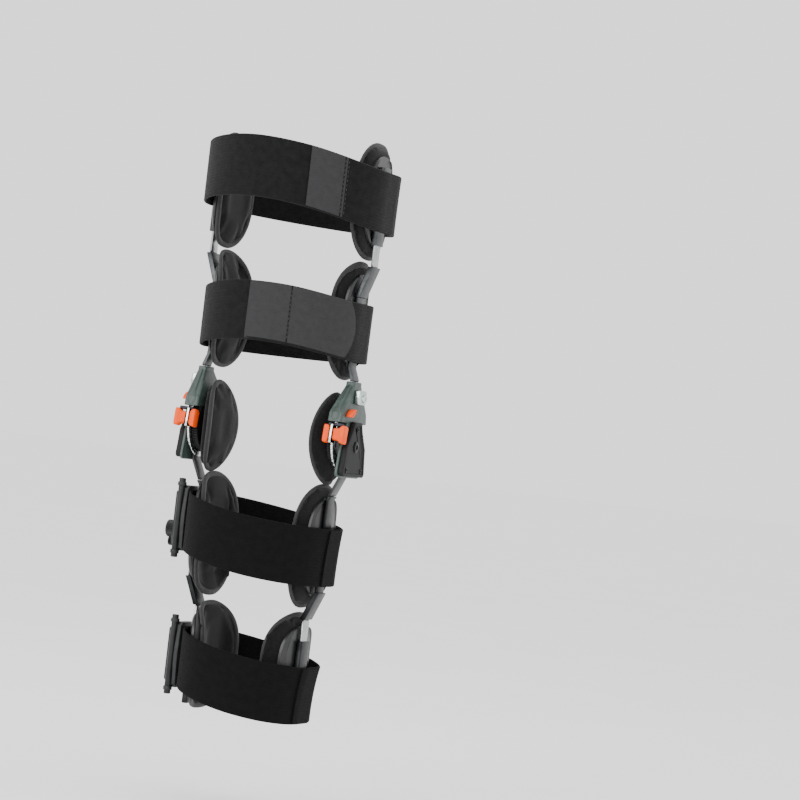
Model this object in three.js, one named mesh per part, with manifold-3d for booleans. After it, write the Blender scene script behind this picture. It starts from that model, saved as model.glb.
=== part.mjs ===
// Post-surgery knee brace for one leg, in millimetres.
// +Z runs up the leg, -Y is its front, +X its inner (medial) side.
// The origin is on the knee axis, midway between the two hinges, and the axis is the X axis.
import * as THREE from 'three';
import { mergeVertices } from 'three/addons/utils/BufferGeometryUtils.js';
import Module from 'manifold-3d';

const wasm = await Module();
wasm.setup();

// Clearances
const seatGap = 0.3; // between pieces that rest on each other
const slideGap = 0.3; // round an inner bar in its sleeve

// Webbing
const strapThickness = 2.5;
const layerThickness = 2.0; // the strap's end where it is turned back on itself
const layerShare = 0.97; // of the strap's width
const strapSteps = 26; // along each half of a strap
const layerSteps = 14;
const uprightFlat = 12; // half the flat of a strap where it crosses an upright
const limbShift = 4; // the limb's middle lies this far behind the uprights

// Pads and their moulded shells
const padThickness = 9;
const shellThickness = 2.2;
const padSeat = 0.8; // between a shell and its pad, for the hook patch that holds it
const shellInset = 12; // from the pad's edge to the shell's edge
const padEnd = 0.3; // width left at a pad's very end, as a share
const padAlong = 3.2; // power of the pad's rounded outline along its height
const padAcross = 2.4; // and across it
const leanPower = 4; // how late along its height a pad starts to lean
const padColumns = 6;
const padRows = 10;

// Uprights: a bar, a wide sleeve and a narrow bar that slides in it
const barWidth = 16;
const barThickness = 4;
const sleeveWidth = 20;
const sleeveThickness = 6;
const innerWidth = 14.5;
const innerThickness = 2.6;
const thighSleeveRise = 32; // height of the thigh's fixed slanted sleeve
const calfSleeveRise = 29;
const exposedInner = 22; // inner bar that shows between the two sleeves
const engagedInner = 55; // inner bar inside the moving sleeve
const movingSleeveLength = 80;

// Hinges
const hingeX = 80.5; // middle plane of the steel disc
const discThickness = 2;
const discRadius = 34;
const pivotRadius = 5;
const hubRadius = 26;
const armThickness = 3.4;
const plateThickness = 3;
const innerCoverThickness = 6.4;
const innerCoverInset = 5; // from the disc's rim to the inner cover's
const outerCoverThickness = 5.5;
const bellHalfWidth = 30; // the outer plate at its flat bottom
const bellDrop = 38; // its bottom edge below the knee axis
const bellTop = 46; // and its top above it
const bellCorner = 5;
const headFlare = 2; // of the outer plate's head past each side of the yoke
const headCorner = 3;
const coverInset = 1.5; // the cover lies this far in from the plate's edge
const coverTop = 19.3; // and ends this high
const yokeBottom = 17.5; // the housing closes over the disc above this height
const yokeTop = 60;
const yokeHalfWidth = 10;
const yokeDepth = 10; // through its top
const yokeTaper = 2; // each side of it is as wide as the disc at its foot, and leans in by this
const yokeWall = 10; // over this height, before it narrows to its head
const yokeHead = 4; // height of its straight top
const rimClear = 1.3; // from the disc's rim to the yoke
const cheekProud = 1; // of the cheek past the disc's rim
const barStart = 2; // the thigh bar runs on straight this far above the yoke
const armStraight = 2; // and the lower arm this far past the disc
const condyleThickness = 12;
const condyleHalfWidth = 35;
const condyleHalfHeight = 46;
const condyleEnd = 0.18; // width left at its very ends, as a share
const condyleCurve = 9; // how far the condyle pad's edges bend in towards the knee
const armDrop = 58; // the lower arm ends this far below the knee axis
const stopHalfLength = 11.5;
const stopHalfWidth = 9;
const stopWaist = 6;
const stopDepth = 10;
const stopSink = 4; // of the extension stop over the disc's rim
const stopFlare = 3; // length of each flared end
const stopThin = 1; // its waist is thinner by this
const stopAngle = 8; // degrees above the front
const gripRadius = 33; // where the flexion stop's grip sits on the outer plate
const gripAngle = 57; // degrees above the front
const gripHalfLength = 7;
const gripHalfThickness = 2.6;
const gripProud = 1;
const lockHalfWidth = 8;
const lockHeight = 15;
const lockThickness = 7;
const lockRise = 6; // of its top above the outer plate
const boltRadius = 4;
const boltHeight = 3;
const boltSink = 1; // of the bolt into the lock
const past = 60; // a cutting box reaches past every piece of a hinge
const cutClear = 1; // and past the faces that it cuts

// Buckles
const buckleWidth = 26;
const buckleBaseThickness = 8;
const buckleLeverThickness = 8;
const buckleOverhang = 4; // of the frame past each edge of the strap
const knobRadius = 9;
const knobHeight = 9;
const knobSink = 0.5;
const knobPlace = 0.45; // below the lever's middle, as a share of its half length
const leverInset = 2; // from the strap's edges
const leverEase = 2; // its ends are softened by this
const leverShort = 1;
const pinRadius = 3.5;
const pinBeside = 0.6; // share of the pin's radius that stands in front of the frame
const pinStandOut = 7; // of the pin past each end of the frame
const bendClear = 2; // from a buckle's end to the next bend of the upright

// Levels, from the hip down. height is the strap's middle, upright is the x of the bar or sleeve there,
// front and back reach from the limb's middle to the strap's outside, slant lifts the outer side in
// degrees, and rise lifts the front. pad, padHeight and padHalf place the pads, and lean moves the pad's
// end that is away from the knee, out where the limb widens and in where it narrows. coverShare is how
// much of the inner front quarter the strap's turned end covers, and buckle is the way from the outer
// upright's middle to the buckle's, back round the limb.
const levels = {
  thigh_upper: {
    height: 251, upright: 91, front: 97, back: 92, slant: 3.9, rise: 13, width: 62,
    pad: 245, padHeight: 118, padHalf: 40, lean: 0, coverShare: 0.7, buckle: 34, moving: true,
  },
  thigh_lower: {
    height: 110, upright: 79, front: 88, back: 80, slant: 0, rise: 10, width: 60,
    pad: 122, padHeight: 120, padHalf: 40, lean: 8, coverShare: 1.04, buckle: 34, moving: false,
  },
  calf_upper: {
    height: -110, upright: 71.5, front: 80, back: 76, slant: 8.4, rise: -4, width: 60,
    pad: -111, padHeight: 126, padHalf: 45, lean: -11, coverShare: 0.03, buckle: -12, moving: false,
  },
  calf_lower: {
    height: -251, upright: 60.5, front: 70, back: 70, slant: 10.3, rise: -3, width: 60,
    pad: -236, padHeight: 110, padHalf: 48, lean: 0, coverShare: 0.12, buckle: -12, moving: true,
  },
};

// Planes of the hinge, from the knee outwards
const discIn = hingeX - discThickness / 2;
const discOut = hingeX + discThickness / 2;
const innerCoverOut = discIn - seatGap;
const innerCoverIn = innerCoverOut - innerCoverThickness;
const condyleOut = innerCoverIn - seatGap;
const armIn = discOut + seatGap;
const armOut = armIn + armThickness;
const plateIn = armOut + seatGap;
const plateOut = plateIn + plateThickness;
const coverIn = plateOut + seatGap;
const coverOut = coverIn + outerCoverThickness;

const colours = {
  elastic: 0x26262a, webbing: 0x3a3b3f, foam: 0x17181a, shell: 0x2b2d30, bar: 0x2d2f31,
  aluminium: 0x8a8c8e, steel: 0xd8dadb, housing: 0x56655f, cover: 0x34363a, stop: 0xf0762a,
  buckle: 0x2a2c2f, frame: 0x6f7275, lock: 0xb9c6c2,
};

const finish = {
  elastic: [0.9, 0], webbing: [0.85, 0], foam: [0.95, 0], shell: [0.45, 0], bar: [0.5, 0.3],
  aluminium: [0.4, 0.9], steel: [0.2, 1], housing: [0.45, 0.2], cover: [0.6, 0], stop: [0.45, 0],
  buckle: [0.45, 0], frame: [0.45, 0.4], lock: [0.3, 0.7],
};

// Mesh tools

function fromTriangles(points, triangles) {
  const geometry = new THREE.BufferGeometry();
  geometry.setAttribute('position', new THREE.Float32BufferAttribute(points.flat(), 3));
  geometry.setIndex(triangles.flat());
  return geometry;
}

function facingOut(geometry) {
  const p = geometry.attributes.position;
  const index = geometry.index;
  const corner = [new THREE.Vector3(), new THREE.Vector3(), new THREE.Vector3()];
  let volume = 0;
  for (let i = 0; i < index.count; i += 3) {
    corner.forEach((v, k) => v.fromBufferAttribute(p, index.getX(i + k)));
    volume += corner[0].dot(corner[1].clone().cross(corner[2]));
  }
  if (volume > 0) return geometry;
  const flipped = Array.from(index.array);
  for (let i = 0; i < flipped.length; i += 3) {
    [flipped[i + 1], flipped[i + 2]] = [flipped[i + 2], flipped[i + 1]];
  }
  geometry.setIndex(flipped);
  return geometry;
}

// A body skinned over loops of equal length. A closed run joins its last loop to its first,
// and an open one has a fan over each end.
function loft(loops, closed = false) {
  const n = loops[0].length;
  const triangles = [];
  const runs = closed ? loops.length : loops.length - 1;
  for (let j = 0; j < runs; j += 1) {
    const a = j * n;
    const b = ((j + 1) % loops.length) * n;
    for (let i = 0; i < n; i += 1) {
      const k = (i + 1) % n;
      triangles.push([a + i, a + k, b + k], [a + i, b + k, b + i]);
    }
  }
  if (!closed) {
    const last = (loops.length - 1) * n;
    for (let i = 1; i < n - 1; i += 1) {
      triangles.push([0, i + 1, i], [last, last + i, last + i + 1]);
    }
  }
  return facingOut(fromTriangles(loops.flat(), triangles));
}

// A sheet with thickness: place(u, v, side) gives its point at shares u and v from -1 to 1, on
// side 0 or 1, and the rim joins the two sides.
function sheet(columns, rows, place) {
  const at = (i, j, side) => (side * (rows + 1) + j) * (columns + 1) + i;
  const points = [];
  for (let side = 0; side < 2; side += 1) {
    for (let j = 0; j <= rows; j += 1) {
      for (let i = 0; i <= columns; i += 1) {
        points.push(place(-1 + (2 * i) / columns, -1 + (2 * j) / rows, side));
      }
    }
  }
  const triangles = [];
  const quad = (a, b, c, d) => triangles.push([a, b, c], [a, c, d]);
  for (let j = 0; j < rows; j += 1) {
    for (let i = 0; i < columns; i += 1) {
      quad(at(i, j, 0), at(i + 1, j, 0), at(i + 1, j + 1, 0), at(i, j + 1, 0));
      quad(at(i, j, 1), at(i, j + 1, 1), at(i + 1, j + 1, 1), at(i + 1, j, 1));
    }
  }
  for (let i = 0; i < columns; i += 1) {
    quad(at(i, 0, 0), at(i, 0, 1), at(i + 1, 0, 1), at(i + 1, 0, 0));
    quad(at(i, rows, 0), at(i + 1, rows, 0), at(i + 1, rows, 1), at(i, rows, 1));
  }
  for (let j = 0; j < rows; j += 1) {
    quad(at(0, j, 0), at(0, j + 1, 0), at(0, j + 1, 1), at(0, j, 1));
    quad(at(columns, j, 0), at(columns, j, 1), at(columns, j + 1, 1), at(columns, j + 1, 0));
  }
  return facingOut(fromTriangles(points, triangles));
}

const rectangle = (x0, x1, y0, y1, z) => [[x0, y0, z], [x1, y0, z], [x1, y1, z], [x0, y1, z]];

// A flat shape in the (y, z) plane, made solid between two planes of x.
function plateX(shape, x0, x1, segments = 24) {
  const options = { depth: x1 - x0, bevelEnabled: false, curveSegments: segments };
  const geometry = new THREE.ExtrudeGeometry(shape, options);
  const turn = new THREE.Matrix4().makeBasis(
    new THREE.Vector3(0, 1, 0), new THREE.Vector3(0, 0, 1), new THREE.Vector3(1, 0, 0),
  );
  geometry.applyMatrix4(turn);
  geometry.translate(x0, 0, 0);
  return geometry;
}

function circle(radius, hole = 0) {
  const shape = new THREE.Shape().absarc(0, 0, radius, 0, 2 * Math.PI);
  if (hole) shape.holes.push(new THREE.Path().absarc(0, 0, hole, 0, 2 * Math.PI, true));
  return shape;
}

function box(x0, x1, y0, y1, z0, z1) {
  return loft([rectangle(x0, x1, y0, y1, z0), rectangle(x0, x1, y0, y1, z1)]);
}

// The mesh with its positions only, its shared corners merged.
function bare(geometry) {
  const copy = geometry.clone();
  copy.deleteAttribute('normal');
  copy.deleteAttribute('uv');
  return mergeVertices(copy, 1e-5);
}

function solid(geometry) {
  const merged = bare(geometry);
  return new wasm.Manifold(new wasm.Mesh({
    numProp: 3,
    vertProperties: new Float32Array(merged.attributes.position.array),
    triVerts: new Uint32Array(merged.index.array),
  }));
}

function fromSolid(body) {
  const mesh = body.getMesh();
  const geometry = new THREE.BufferGeometry();
  geometry.setAttribute('position', new THREE.BufferAttribute(mesh.vertProperties, 3));
  geometry.setIndex(new THREE.BufferAttribute(mesh.triVerts, 1));
  return geometry;
}

const join = (...parts) => fromSolid(parts.map(solid).reduce((a, b) => a.add(b)));
const cut = (whole, ...tools) => fromSolid(tools.map(solid).reduce((a, b) => a.subtract(b), solid(whole)));

// The same piece for the other side of the leg.
function mirrored(geometry) {
  const copy = bare(geometry);
  copy.scale(-1, 1, 1);
  return facingOut(copy);
}

// The limb's outline at a level: two half ellipses joined by the flats over the uprights.

const uprightHalf = (level) => (level.moving ? sleeveThickness : barThickness) / 2;
const strapInside = (level) => level.upright + uprightHalf(level) + seatGap;
const strapOutside = (level) => strapInside(level) + strapThickness;

// A point of the outline, proud of the strap's outside by "out": share runs from 0 at the inner flat
// to 1 at the outer one, over the front or over the rear.
function outline(level, out, share, front) {
  const turn = Math.PI * share;
  const deep = (front ? level.front : level.back) + out - uprightFlat;
  const beyond = uprightFlat + deep * Math.sin(turn);
  return [(strapOutside(level) + out) * Math.cos(turn), limbShift + (front ? -beyond : beyond)];
}

// A strap slants to its outer side and rises to its front.
function strapLift(level, x, y) {
  const slant = -x * Math.tan(THREE.MathUtils.degToRad(level.slant));
  const ahead = Math.max(0, (limbShift - uprightFlat - y) / (level.front - uprightFlat));
  return slant + level.rise * ahead ** 2;
}

// The four corners of a strap's cross-section, between two distances from its outside.
function section(level, outer, inner, half, share, front) {
  return [[outer, -1], [outer, 1], [inner, 1], [inner, -1]].map(([out, side]) => {
    const [x, y] = outline(level, out, share, front);
    return [x, y, level.height + strapLift(level, x, y) + side * half];
  });
}

function strap(level) {
  const loops = [];
  for (const front of [true, false]) {
    for (let i = 0; i <= strapSteps; i += 1) {
      const share = front ? i / strapSteps : 1 - i / strapSteps;
      loops.push(section(level, 0, -strapThickness, level.width / 2, share, front));
    }
  }
  return loft(loops, true);
}

// The strap's end, turned back round the inner upright and laid on the strap's front.
function turnedEnd(level) {
  const across = [seatGap + layerThickness, seatGap, (level.width / 2) * layerShare];
  const loops = [section(level, ...across, 0, false)];
  for (let i = 0; i <= layerSteps; i += 1) {
    loops.push(section(level, ...across, ((i / layerSteps) * level.coverShare) / 2, true));
  }
  return loft(loops);
}

// A point on a pad or shell: s is the way round from the upright's middle, "out" as above.
function beside(level, out, s) {
  const across = strapOutside(level) + out;
  const deep = (s < 0 ? level.front : level.back) + out - uprightFlat;
  const turn = Math.max(0, Math.abs(s) - uprightFlat) / deep;
  const y = Math.sign(s) * (Math.min(Math.abs(s), uprightFlat) + deep * Math.sin(turn));
  return [across * Math.cos(turn), limbShift + y];
}

// Half width of a rounded pad at height share v, full at its middle.
const padShare = (v) => Math.max(padEnd, (1 - Math.abs(v) ** padAlong) ** (1 / padAcross));

function padPiece(level, outerOffset, thickness, halfWidth, height) {
  return sheet(padColumns, padRows, (u, v, side) => {
    const even = Math.sin((v * Math.PI) / 2);
    const half = halfWidth * padShare(even);
    const [x, y] = beside(level, outerOffset - side * thickness, u * half);
    const away = Math.max(0, (Math.sign(level.pad) * even * height) / level.padHeight);
    return [x + level.lean * away ** leanPower, y, level.pad + (even * height) / 2];
  });
}

function padOf(level) {
  const shellOut = -strapThickness - seatGap - 2 * uprightHalf(level) - seatGap;
  const padOut = shellOut - shellThickness - padSeat;
  const shellHalf = level.padHalf - shellInset;
  return {
    shell: padPiece(level, shellOut, shellThickness, shellHalf, level.padHeight - 2 * shellInset),
    pad: padPiece(level, padOut, padThickness, level.padHalf, level.padHeight),
  };
}

// Buckles are drawn on a strap that faces -X at the origin, then turned and moved to their place.
function onStrap(level, geometry) {
  const [x, y] = beside(level, seatGap, level.buckle);
  const turned = bare(geometry);
  const deep = (level.buckle < 0 ? level.front : level.back) + seatGap - uprightFlat;
  turned.rotateZ((-Math.sign(level.buckle) * Math.max(0, Math.abs(level.buckle) - uprightFlat)) / deep);
  turned.translate(-x, y, level.height + strapLift(level, -x, y));
  return turned;
}

// A frame that lies on the strap, with a pin along its front edge
function buckleFrame(level) {
  const half = level.width / 2 + buckleOverhang;
  const body = box(-buckleBaseThickness, 0, -buckleWidth / 2, buckleWidth / 2, -half, half);
  const pin = new THREE.CylinderGeometry(pinRadius, pinRadius, 2 * (half + pinStandOut), 12);
  pin.rotateX(Math.PI / 2);
  pin.translate(-buckleBaseThickness, -buckleWidth / 2 - pinRadius * pinBeside, 0);
  return onStrap(level, join(body, pin));
}

// A lever closed over the frame
function buckleLever(level, knobs) {
  const x0 = -buckleBaseThickness - seatGap;
  const x1 = x0 - buckleLeverThickness;
  const half = level.width / 2 - leverInset;
  const y0 = pinRadius * (1 - pinBeside) + 2 * seatGap - buckleWidth / 2;
  const y1 = buckleWidth / 2 - leverShort;
  const body = loft([
    rectangle(x1 + leverEase, x0, y0 + leverEase, y1 - leverEase, -half),
    rectangle(x1, x0, y0, y1, leverEase - half),
    rectangle(x1, x0, y0, y1, half - leverEase),
    rectangle(x1 + leverEase, x0, y0 + leverEase, y1 - leverEase, half),
  ]);
  if (!knobs) return onStrap(level, body);
  const knob = new THREE.CylinderGeometry(knobRadius, knobRadius, knobHeight + knobSink, 16);
  knob.rotateZ(Math.PI / 2);
  knob.translate(x1 + (knobSink - knobHeight) / 2, 0, -half * knobPlace);
  return onStrap(level, join(body, knob));
}

// Uprights. A rail is skinned over level rectangles, so each step in it is a flat shoulder.
// A fixed sleeve starts flush with the inner face of its bar.

const sleeveProud = (sleeveThickness - barThickness) / 2;

function railLoop(x, z, width, thickness) {
  return rectangle(x - thickness / 2, x + thickness / 2, -width / 2, width / 2, z);
}

const above = 1;
const below = -1;

// The height just clear of a strap and its buckle, above or below it.
const strapEdge = (level, end) => {
  const lean = strapOutside(level) * Math.tan(THREE.MathUtils.degToRad(Math.abs(level.slant)));
  return level.height + end * (level.width / 2 + lean + buckleOverhang + bendClear);
};

function thighRail() {
  const low = levels.thigh_lower;
  const high = levels.thigh_upper;
  const start = (yokeInAtTop + plateOut) / 2;
  const sleeveFoot = strapEdge(low, above);
  const sleeveHead = sleeveFoot + thighSleeveRise;
  const tip = sleeveHead + exposedInner + engagedInner;
  return loft([
    railLoop(start, yokeTop + seatGap, barWidth, barThickness),
    railLoop(start, yokeTop + barStart, barWidth, barThickness),
    railLoop(low.upright, strapEdge(low, below), barWidth, barThickness),
    railLoop(low.upright, sleeveFoot, barWidth, barThickness),
    railLoop(low.upright + sleeveProud, sleeveFoot, sleeveWidth, sleeveThickness),
    railLoop(high.upright, sleeveHead, sleeveWidth, sleeveThickness),
    railLoop(high.upright, sleeveHead, innerWidth, innerThickness),
    railLoop(high.upright, tip, innerWidth, innerThickness),
  ]);
}

function calfRail() {
  const high = levels.calf_upper;
  const low = levels.calf_lower;
  const sleeveHead = strapEdge(high, below);
  const sleeveFoot = sleeveHead - calfSleeveRise;
  const tip = sleeveFoot - exposedInner - engagedInner;
  return loft([
    railLoop(armAt(armDrop + seatGap), -armDrop - seatGap, barWidth, barThickness),
    railLoop(high.upright, strapEdge(high, above), barWidth, barThickness),
    railLoop(high.upright, sleeveHead, barWidth, barThickness),
    railLoop(high.upright + sleeveProud, sleeveHead, sleeveWidth, sleeveThickness),
    railLoop(low.upright, sleeveFoot, sleeveWidth, sleeveThickness),
    railLoop(low.upright, sleeveFoot, innerWidth, innerThickness),
    railLoop(low.upright, tip, innerWidth, innerThickness),
  ]);
}

function movingSleeve(upright, z0, z1) {
  const outer = new THREE.Shape();
  outer.moveTo(upright - sleeveThickness / 2, -sleeveWidth / 2);
  outer.lineTo(upright + sleeveThickness / 2, -sleeveWidth / 2);
  outer.lineTo(upright + sleeveThickness / 2, sleeveWidth / 2);
  outer.lineTo(upright - sleeveThickness / 2, sleeveWidth / 2);
  const halfX = innerThickness / 2 + slideGap;
  const halfY = innerWidth / 2 + slideGap;
  const slot = new THREE.Path();
  slot.moveTo(upright - halfX, -halfY);
  slot.lineTo(upright - halfX, halfY);
  slot.lineTo(upright + halfX, halfY);
  slot.lineTo(upright + halfX, -halfY);
  outer.holes.push(slot);
  const geometry = new THREE.ExtrudeGeometry(outer, { depth: Math.abs(z1 - z0), bevelEnabled: false });
  geometry.translate(0, 0, Math.min(z0, z1));
  return geometry;
}

// Hinges, drawn on the inner side

const yokeInAtTop = plateOut - yokeDepth;

// The lower arm leans in from the hub's plane to the calf's upright.
function armAt(drop) {
  const top = discRadius + armStraight;
  const bottom = -strapEdge(levels.calf_upper, above);
  const share = THREE.MathUtils.clamp((drop - top) / (bottom - top), 0, 1);
  return THREE.MathUtils.lerp((armIn + armOut) / 2, levels.calf_upper.upright, share);
}

// The bell outline of the outer plate and its cover: a flat foot, leaning sides and a round head.
function bell(inset, top) {
  const foot = bellHalfWidth - inset;
  const drop = bellDrop - inset;
  const head = yokeHalfWidth + headFlare - inset;
  const waist = [0.86 * foot, -0.2 * drop];
  const neck = [1.15 * head, 0.55 * top];
  const shape = new THREE.Shape();
  shape.moveTo(bellCorner - foot, -drop);
  shape.lineTo(foot - bellCorner, -drop);
  shape.quadraticCurveTo(foot, -drop, foot, bellCorner - drop);
  shape.lineTo(...waist);
  shape.quadraticCurveTo(...neck, head, top - headCorner);
  shape.quadraticCurveTo(head, top, head - headCorner, top);
  shape.lineTo(headCorner - head, top);
  shape.quadraticCurveTo(-head, top, -head, top - headCorner);
  shape.quadraticCurveTo(-neck[0], neck[1], -waist[0], waist[1]);
  shape.lineTo(-foot, bellCorner - drop);
  shape.quadraticCurveTo(-foot, -drop, bellCorner - foot, -drop);
  return shape;
}

function thighArm() {
  const plate = plateX(bell(0, bellTop), plateIn, plateOut, 6);
  const cheek = cut(
    plateX(circle(discRadius + cheekProud), innerCoverIn, innerCoverOut, 14),
    box(innerCoverIn - cutClear, innerCoverOut + cutClear, -past, past, -past, yokeBottom),
  );
  const waist = discRadius - yokeTaper;
  const yoke = cut(
    loft([
      rectangle(innerCoverIn, plateOut, -discRadius, discRadius, yokeBottom),
      rectangle(innerCoverIn, plateOut, -waist, waist, yokeBottom + yokeWall),
      rectangle(yokeInAtTop, plateOut, -yokeHalfWidth, yokeHalfWidth, yokeTop - yokeHead),
      rectangle(yokeInAtTop, plateOut, -yokeHalfWidth, yokeHalfWidth, yokeTop),
    ]),
    plateX(circle(discRadius + rimClear), innerCoverOut, plateIn, 24),
  );
  const hole = plateX(circle(pivotRadius + seatGap), plateIn - cutClear, plateOut + cutClear, 12);
  return cut(join(plate, cheek, yoke), hole);
}

function innerCover() {
  const disc = plateX(circle(discRadius - innerCoverInset), innerCoverIn, innerCoverOut, 14);
  const top = yokeBottom - seatGap;
  return cut(disc, box(innerCoverIn - cutClear, innerCoverOut + cutClear, -past, past, top, past));
}

const steelDisc = () => plateX(circle(discRadius, pivotRadius + seatGap), discIn, discOut, 24);
const pivot = () => plateX(circle(pivotRadius), discIn, coverIn - seatGap, 10);

function shankArm() {
  const hub = plateX(circle(hubRadius, pivotRadius + seatGap), armIn, armOut, 20);
  const half = barWidth / 2;
  const foot = armAt(armDrop);
  const arm = loft([
    rectangle(armIn, armOut, -half, half, half - hubRadius),
    rectangle(armIn, armOut, -half, half, -discRadius - armStraight),
    rectangle(foot - armThickness / 2, foot + armThickness / 2, -half, half, -armDrop),
  ]);
  return join(hub, arm);
}

const outerCover = () => plateX(bell(coverInset, coverTop), coverIn, coverOut, 6);

// The extension stop straddles the disc's front rim: a spool with flared ends, slotted for the disc.
function extensionStop() {
  const back = stopSink - discRadius;
  const ring = (x, half, depth) => [
    [x, back, -half], [x, back, half], [x, back - depth, half], [x, back - depth, -half],
  ];
  const middle = (innerCoverIn + coverOut) / 2;
  const ends = [-1, 1].map((side) => {
    const end = middle + side * stopHalfLength;
    return [
      ring(end, stopHalfWidth, stopDepth),
      ring(end - side * stopFlare, stopHalfWidth, stopDepth),
      ring(end - side * 2 * stopFlare, stopWaist, stopDepth - stopThin),
    ];
  });
  const spool = loft([...ends[0], ...ends[1].reverse()]);
  const slot = plateX(circle(discRadius + seatGap), discIn - seatGap, discOut + seatGap, 24);
  const stop = cut(spool, slot);
  stop.rotateX(-THREE.MathUtils.degToRad(stopAngle));
  return stop;
}

// The flexion stop's grip is a lens on the outer plate, above the cover.
function flexionStop() {
  const angle = THREE.MathUtils.degToRad(180 - gripAngle);
  const bow = 2 * gripHalfThickness;
  const lens = new THREE.Shape();
  lens.moveTo(-gripHalfLength, 0);
  lens.quadraticCurveTo(0, bow, gripHalfLength, 0);
  lens.quadraticCurveTo(0, -bow, -gripHalfLength, 0);
  const grip = plateX(lens, coverIn, coverOut + gripProud, 8);
  grip.rotateX(angle + Math.PI / 2);
  grip.translate(0, gripRadius * Math.cos(angle), gripRadius * Math.sin(angle));
  return grip;
}

function lock() {
  const top = bellTop + lockRise;
  const out = coverIn + lockThickness;
  const body = box(coverIn, out, -lockHalfWidth, lockHalfWidth, top - lockHeight, top);
  const bolt = plateX(circle(boltRadius), out - boltSink, out + boltHeight, 8);
  bolt.translate(0, 0, top - lockHeight / 2);
  return join(body, bolt);
}

function condylePad() {
  return sheet(padColumns, padRows, (u, v, side) => {
    const even = Math.sin((v * Math.PI) / 2);
    const half = condyleHalfWidth * Math.max(condyleEnd, Math.sqrt(1 - even ** 2));
    const y = u * half;
    const bend = condyleCurve * (y / condyleHalfWidth) ** 2;
    return [condyleOut - bend - side * condyleThickness, y, even * condyleHalfHeight];
  });
}

// Assembly

const brace = new THREE.Group();

function add(name, look, geometry) {
  const [roughness, metalness] = finish[look];
  const material = new THREE.MeshStandardMaterial({ color: colours[look], roughness, metalness });
  const mesh = new THREE.Mesh(geometry, material);
  mesh.name = name;
  brace.add(mesh);
}

// Both sides of a piece that is drawn on the inner side
function addPair(name, look, geometry) {
  add(`${name}_medial`, look, geometry);
  add(`${name}_lateral`, look, mirrored(geometry));
}

for (const [name, level] of Object.entries(levels)) {
  add(`${name}_strap`, 'elastic', strap(level));
  add(`${name}_turned_end`, 'webbing', turnedEnd(level));
  const { shell, pad } = padOf(level);
  addPair(`${name}_shell`, 'shell', shell);
  addPair(`${name}_pad`, 'foam', pad);
  add(`${name}_buckle_frame`, 'frame', buckleFrame(level));
  add(`${name}_buckle_lever`, 'buckle', buckleLever(level, name === 'calf_upper'));
}

const thighSleeveFoot = strapEdge(levels.thigh_lower, above) + thighSleeveRise + exposedInner;
const calfSleeveHead = strapEdge(levels.calf_upper, below) - calfSleeveRise - exposedInner;

addPair('thigh_rail', 'aluminium', thighRail());
addPair('thigh_sleeve', 'aluminium', movingSleeve(
  levels.thigh_upper.upright, thighSleeveFoot, thighSleeveFoot + movingSleeveLength,
));
addPair('calf_rail', 'aluminium', calfRail());
addPair('calf_sleeve', 'aluminium', movingSleeve(
  levels.calf_lower.upright, calfSleeveHead, calfSleeveHead - movingSleeveLength,
));
addPair('thigh_arm', 'housing', thighArm());
addPair('shank_arm', 'bar', shankArm());
addPair('hinge_disc', 'steel', steelDisc());
addPair('hinge_pivot', 'steel', pivot());
addPair('inner_cover', 'cover', innerCover());
addPair('outer_cover', 'cover', outerCover());
addPair('hinge_lock', 'lock', lock());
addPair('extension_stop', 'stop', extensionStop());
addPair('flexion_stop', 'stop', flexionStop());
addPair('condyle_pad', 'foam', condylePad());

export default brace;
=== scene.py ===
# %% [markdown]
# # A knee brace for the weeks after surgery
# Two jointed metal uprights run down the sides of a leg, four wide straps hold them on, and foam pads
# lie between metal and limb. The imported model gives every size, so each piece here is a finer surface
# in the same place. Shapes are worked out in millimetres with numpy and put into meshes in metres.

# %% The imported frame
import math

import bpy
import numpy as np
from mathutils import Matrix, Vector


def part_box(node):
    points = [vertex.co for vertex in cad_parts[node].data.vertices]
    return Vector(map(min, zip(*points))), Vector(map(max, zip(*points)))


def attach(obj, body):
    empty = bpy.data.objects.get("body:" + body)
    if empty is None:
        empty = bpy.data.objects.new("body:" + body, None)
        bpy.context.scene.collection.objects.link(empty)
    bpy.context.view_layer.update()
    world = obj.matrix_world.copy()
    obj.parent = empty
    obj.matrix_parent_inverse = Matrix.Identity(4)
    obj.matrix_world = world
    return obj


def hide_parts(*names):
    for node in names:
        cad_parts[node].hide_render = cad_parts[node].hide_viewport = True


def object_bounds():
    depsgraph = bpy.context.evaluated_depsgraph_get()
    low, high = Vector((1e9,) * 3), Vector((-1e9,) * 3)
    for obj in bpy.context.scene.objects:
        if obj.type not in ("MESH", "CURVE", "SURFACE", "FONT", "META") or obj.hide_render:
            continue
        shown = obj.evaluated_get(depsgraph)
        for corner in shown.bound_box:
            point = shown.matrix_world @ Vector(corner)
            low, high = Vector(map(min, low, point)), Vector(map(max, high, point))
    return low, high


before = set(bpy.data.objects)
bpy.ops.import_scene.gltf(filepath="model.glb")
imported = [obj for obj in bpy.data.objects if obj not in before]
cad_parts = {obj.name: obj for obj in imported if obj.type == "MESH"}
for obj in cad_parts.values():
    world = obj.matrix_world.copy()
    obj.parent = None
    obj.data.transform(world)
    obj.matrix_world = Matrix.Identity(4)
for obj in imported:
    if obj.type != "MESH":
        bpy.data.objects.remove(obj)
cad_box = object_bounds()
MM = 0.001


def node_box(node):
    """A node's lowest and highest corners in millimetres."""
    low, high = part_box(node)
    return np.array(low) / MM, np.array(high) / MM


print("overall size in mm:", [round((b - a) / MM, 1) for a, b in zip(*cad_box)])

# %% [markdown]
# ## Camera
# The photograph looks at the inner front of the leg from about three metres, level with the knee, and
# the leg's top leans to the right. So the camera faces the knee axis from 24 degrees round towards the
# inner side, is rolled by 6.6 degrees, and is turned until the knee lies left of the picture's middle.

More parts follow.
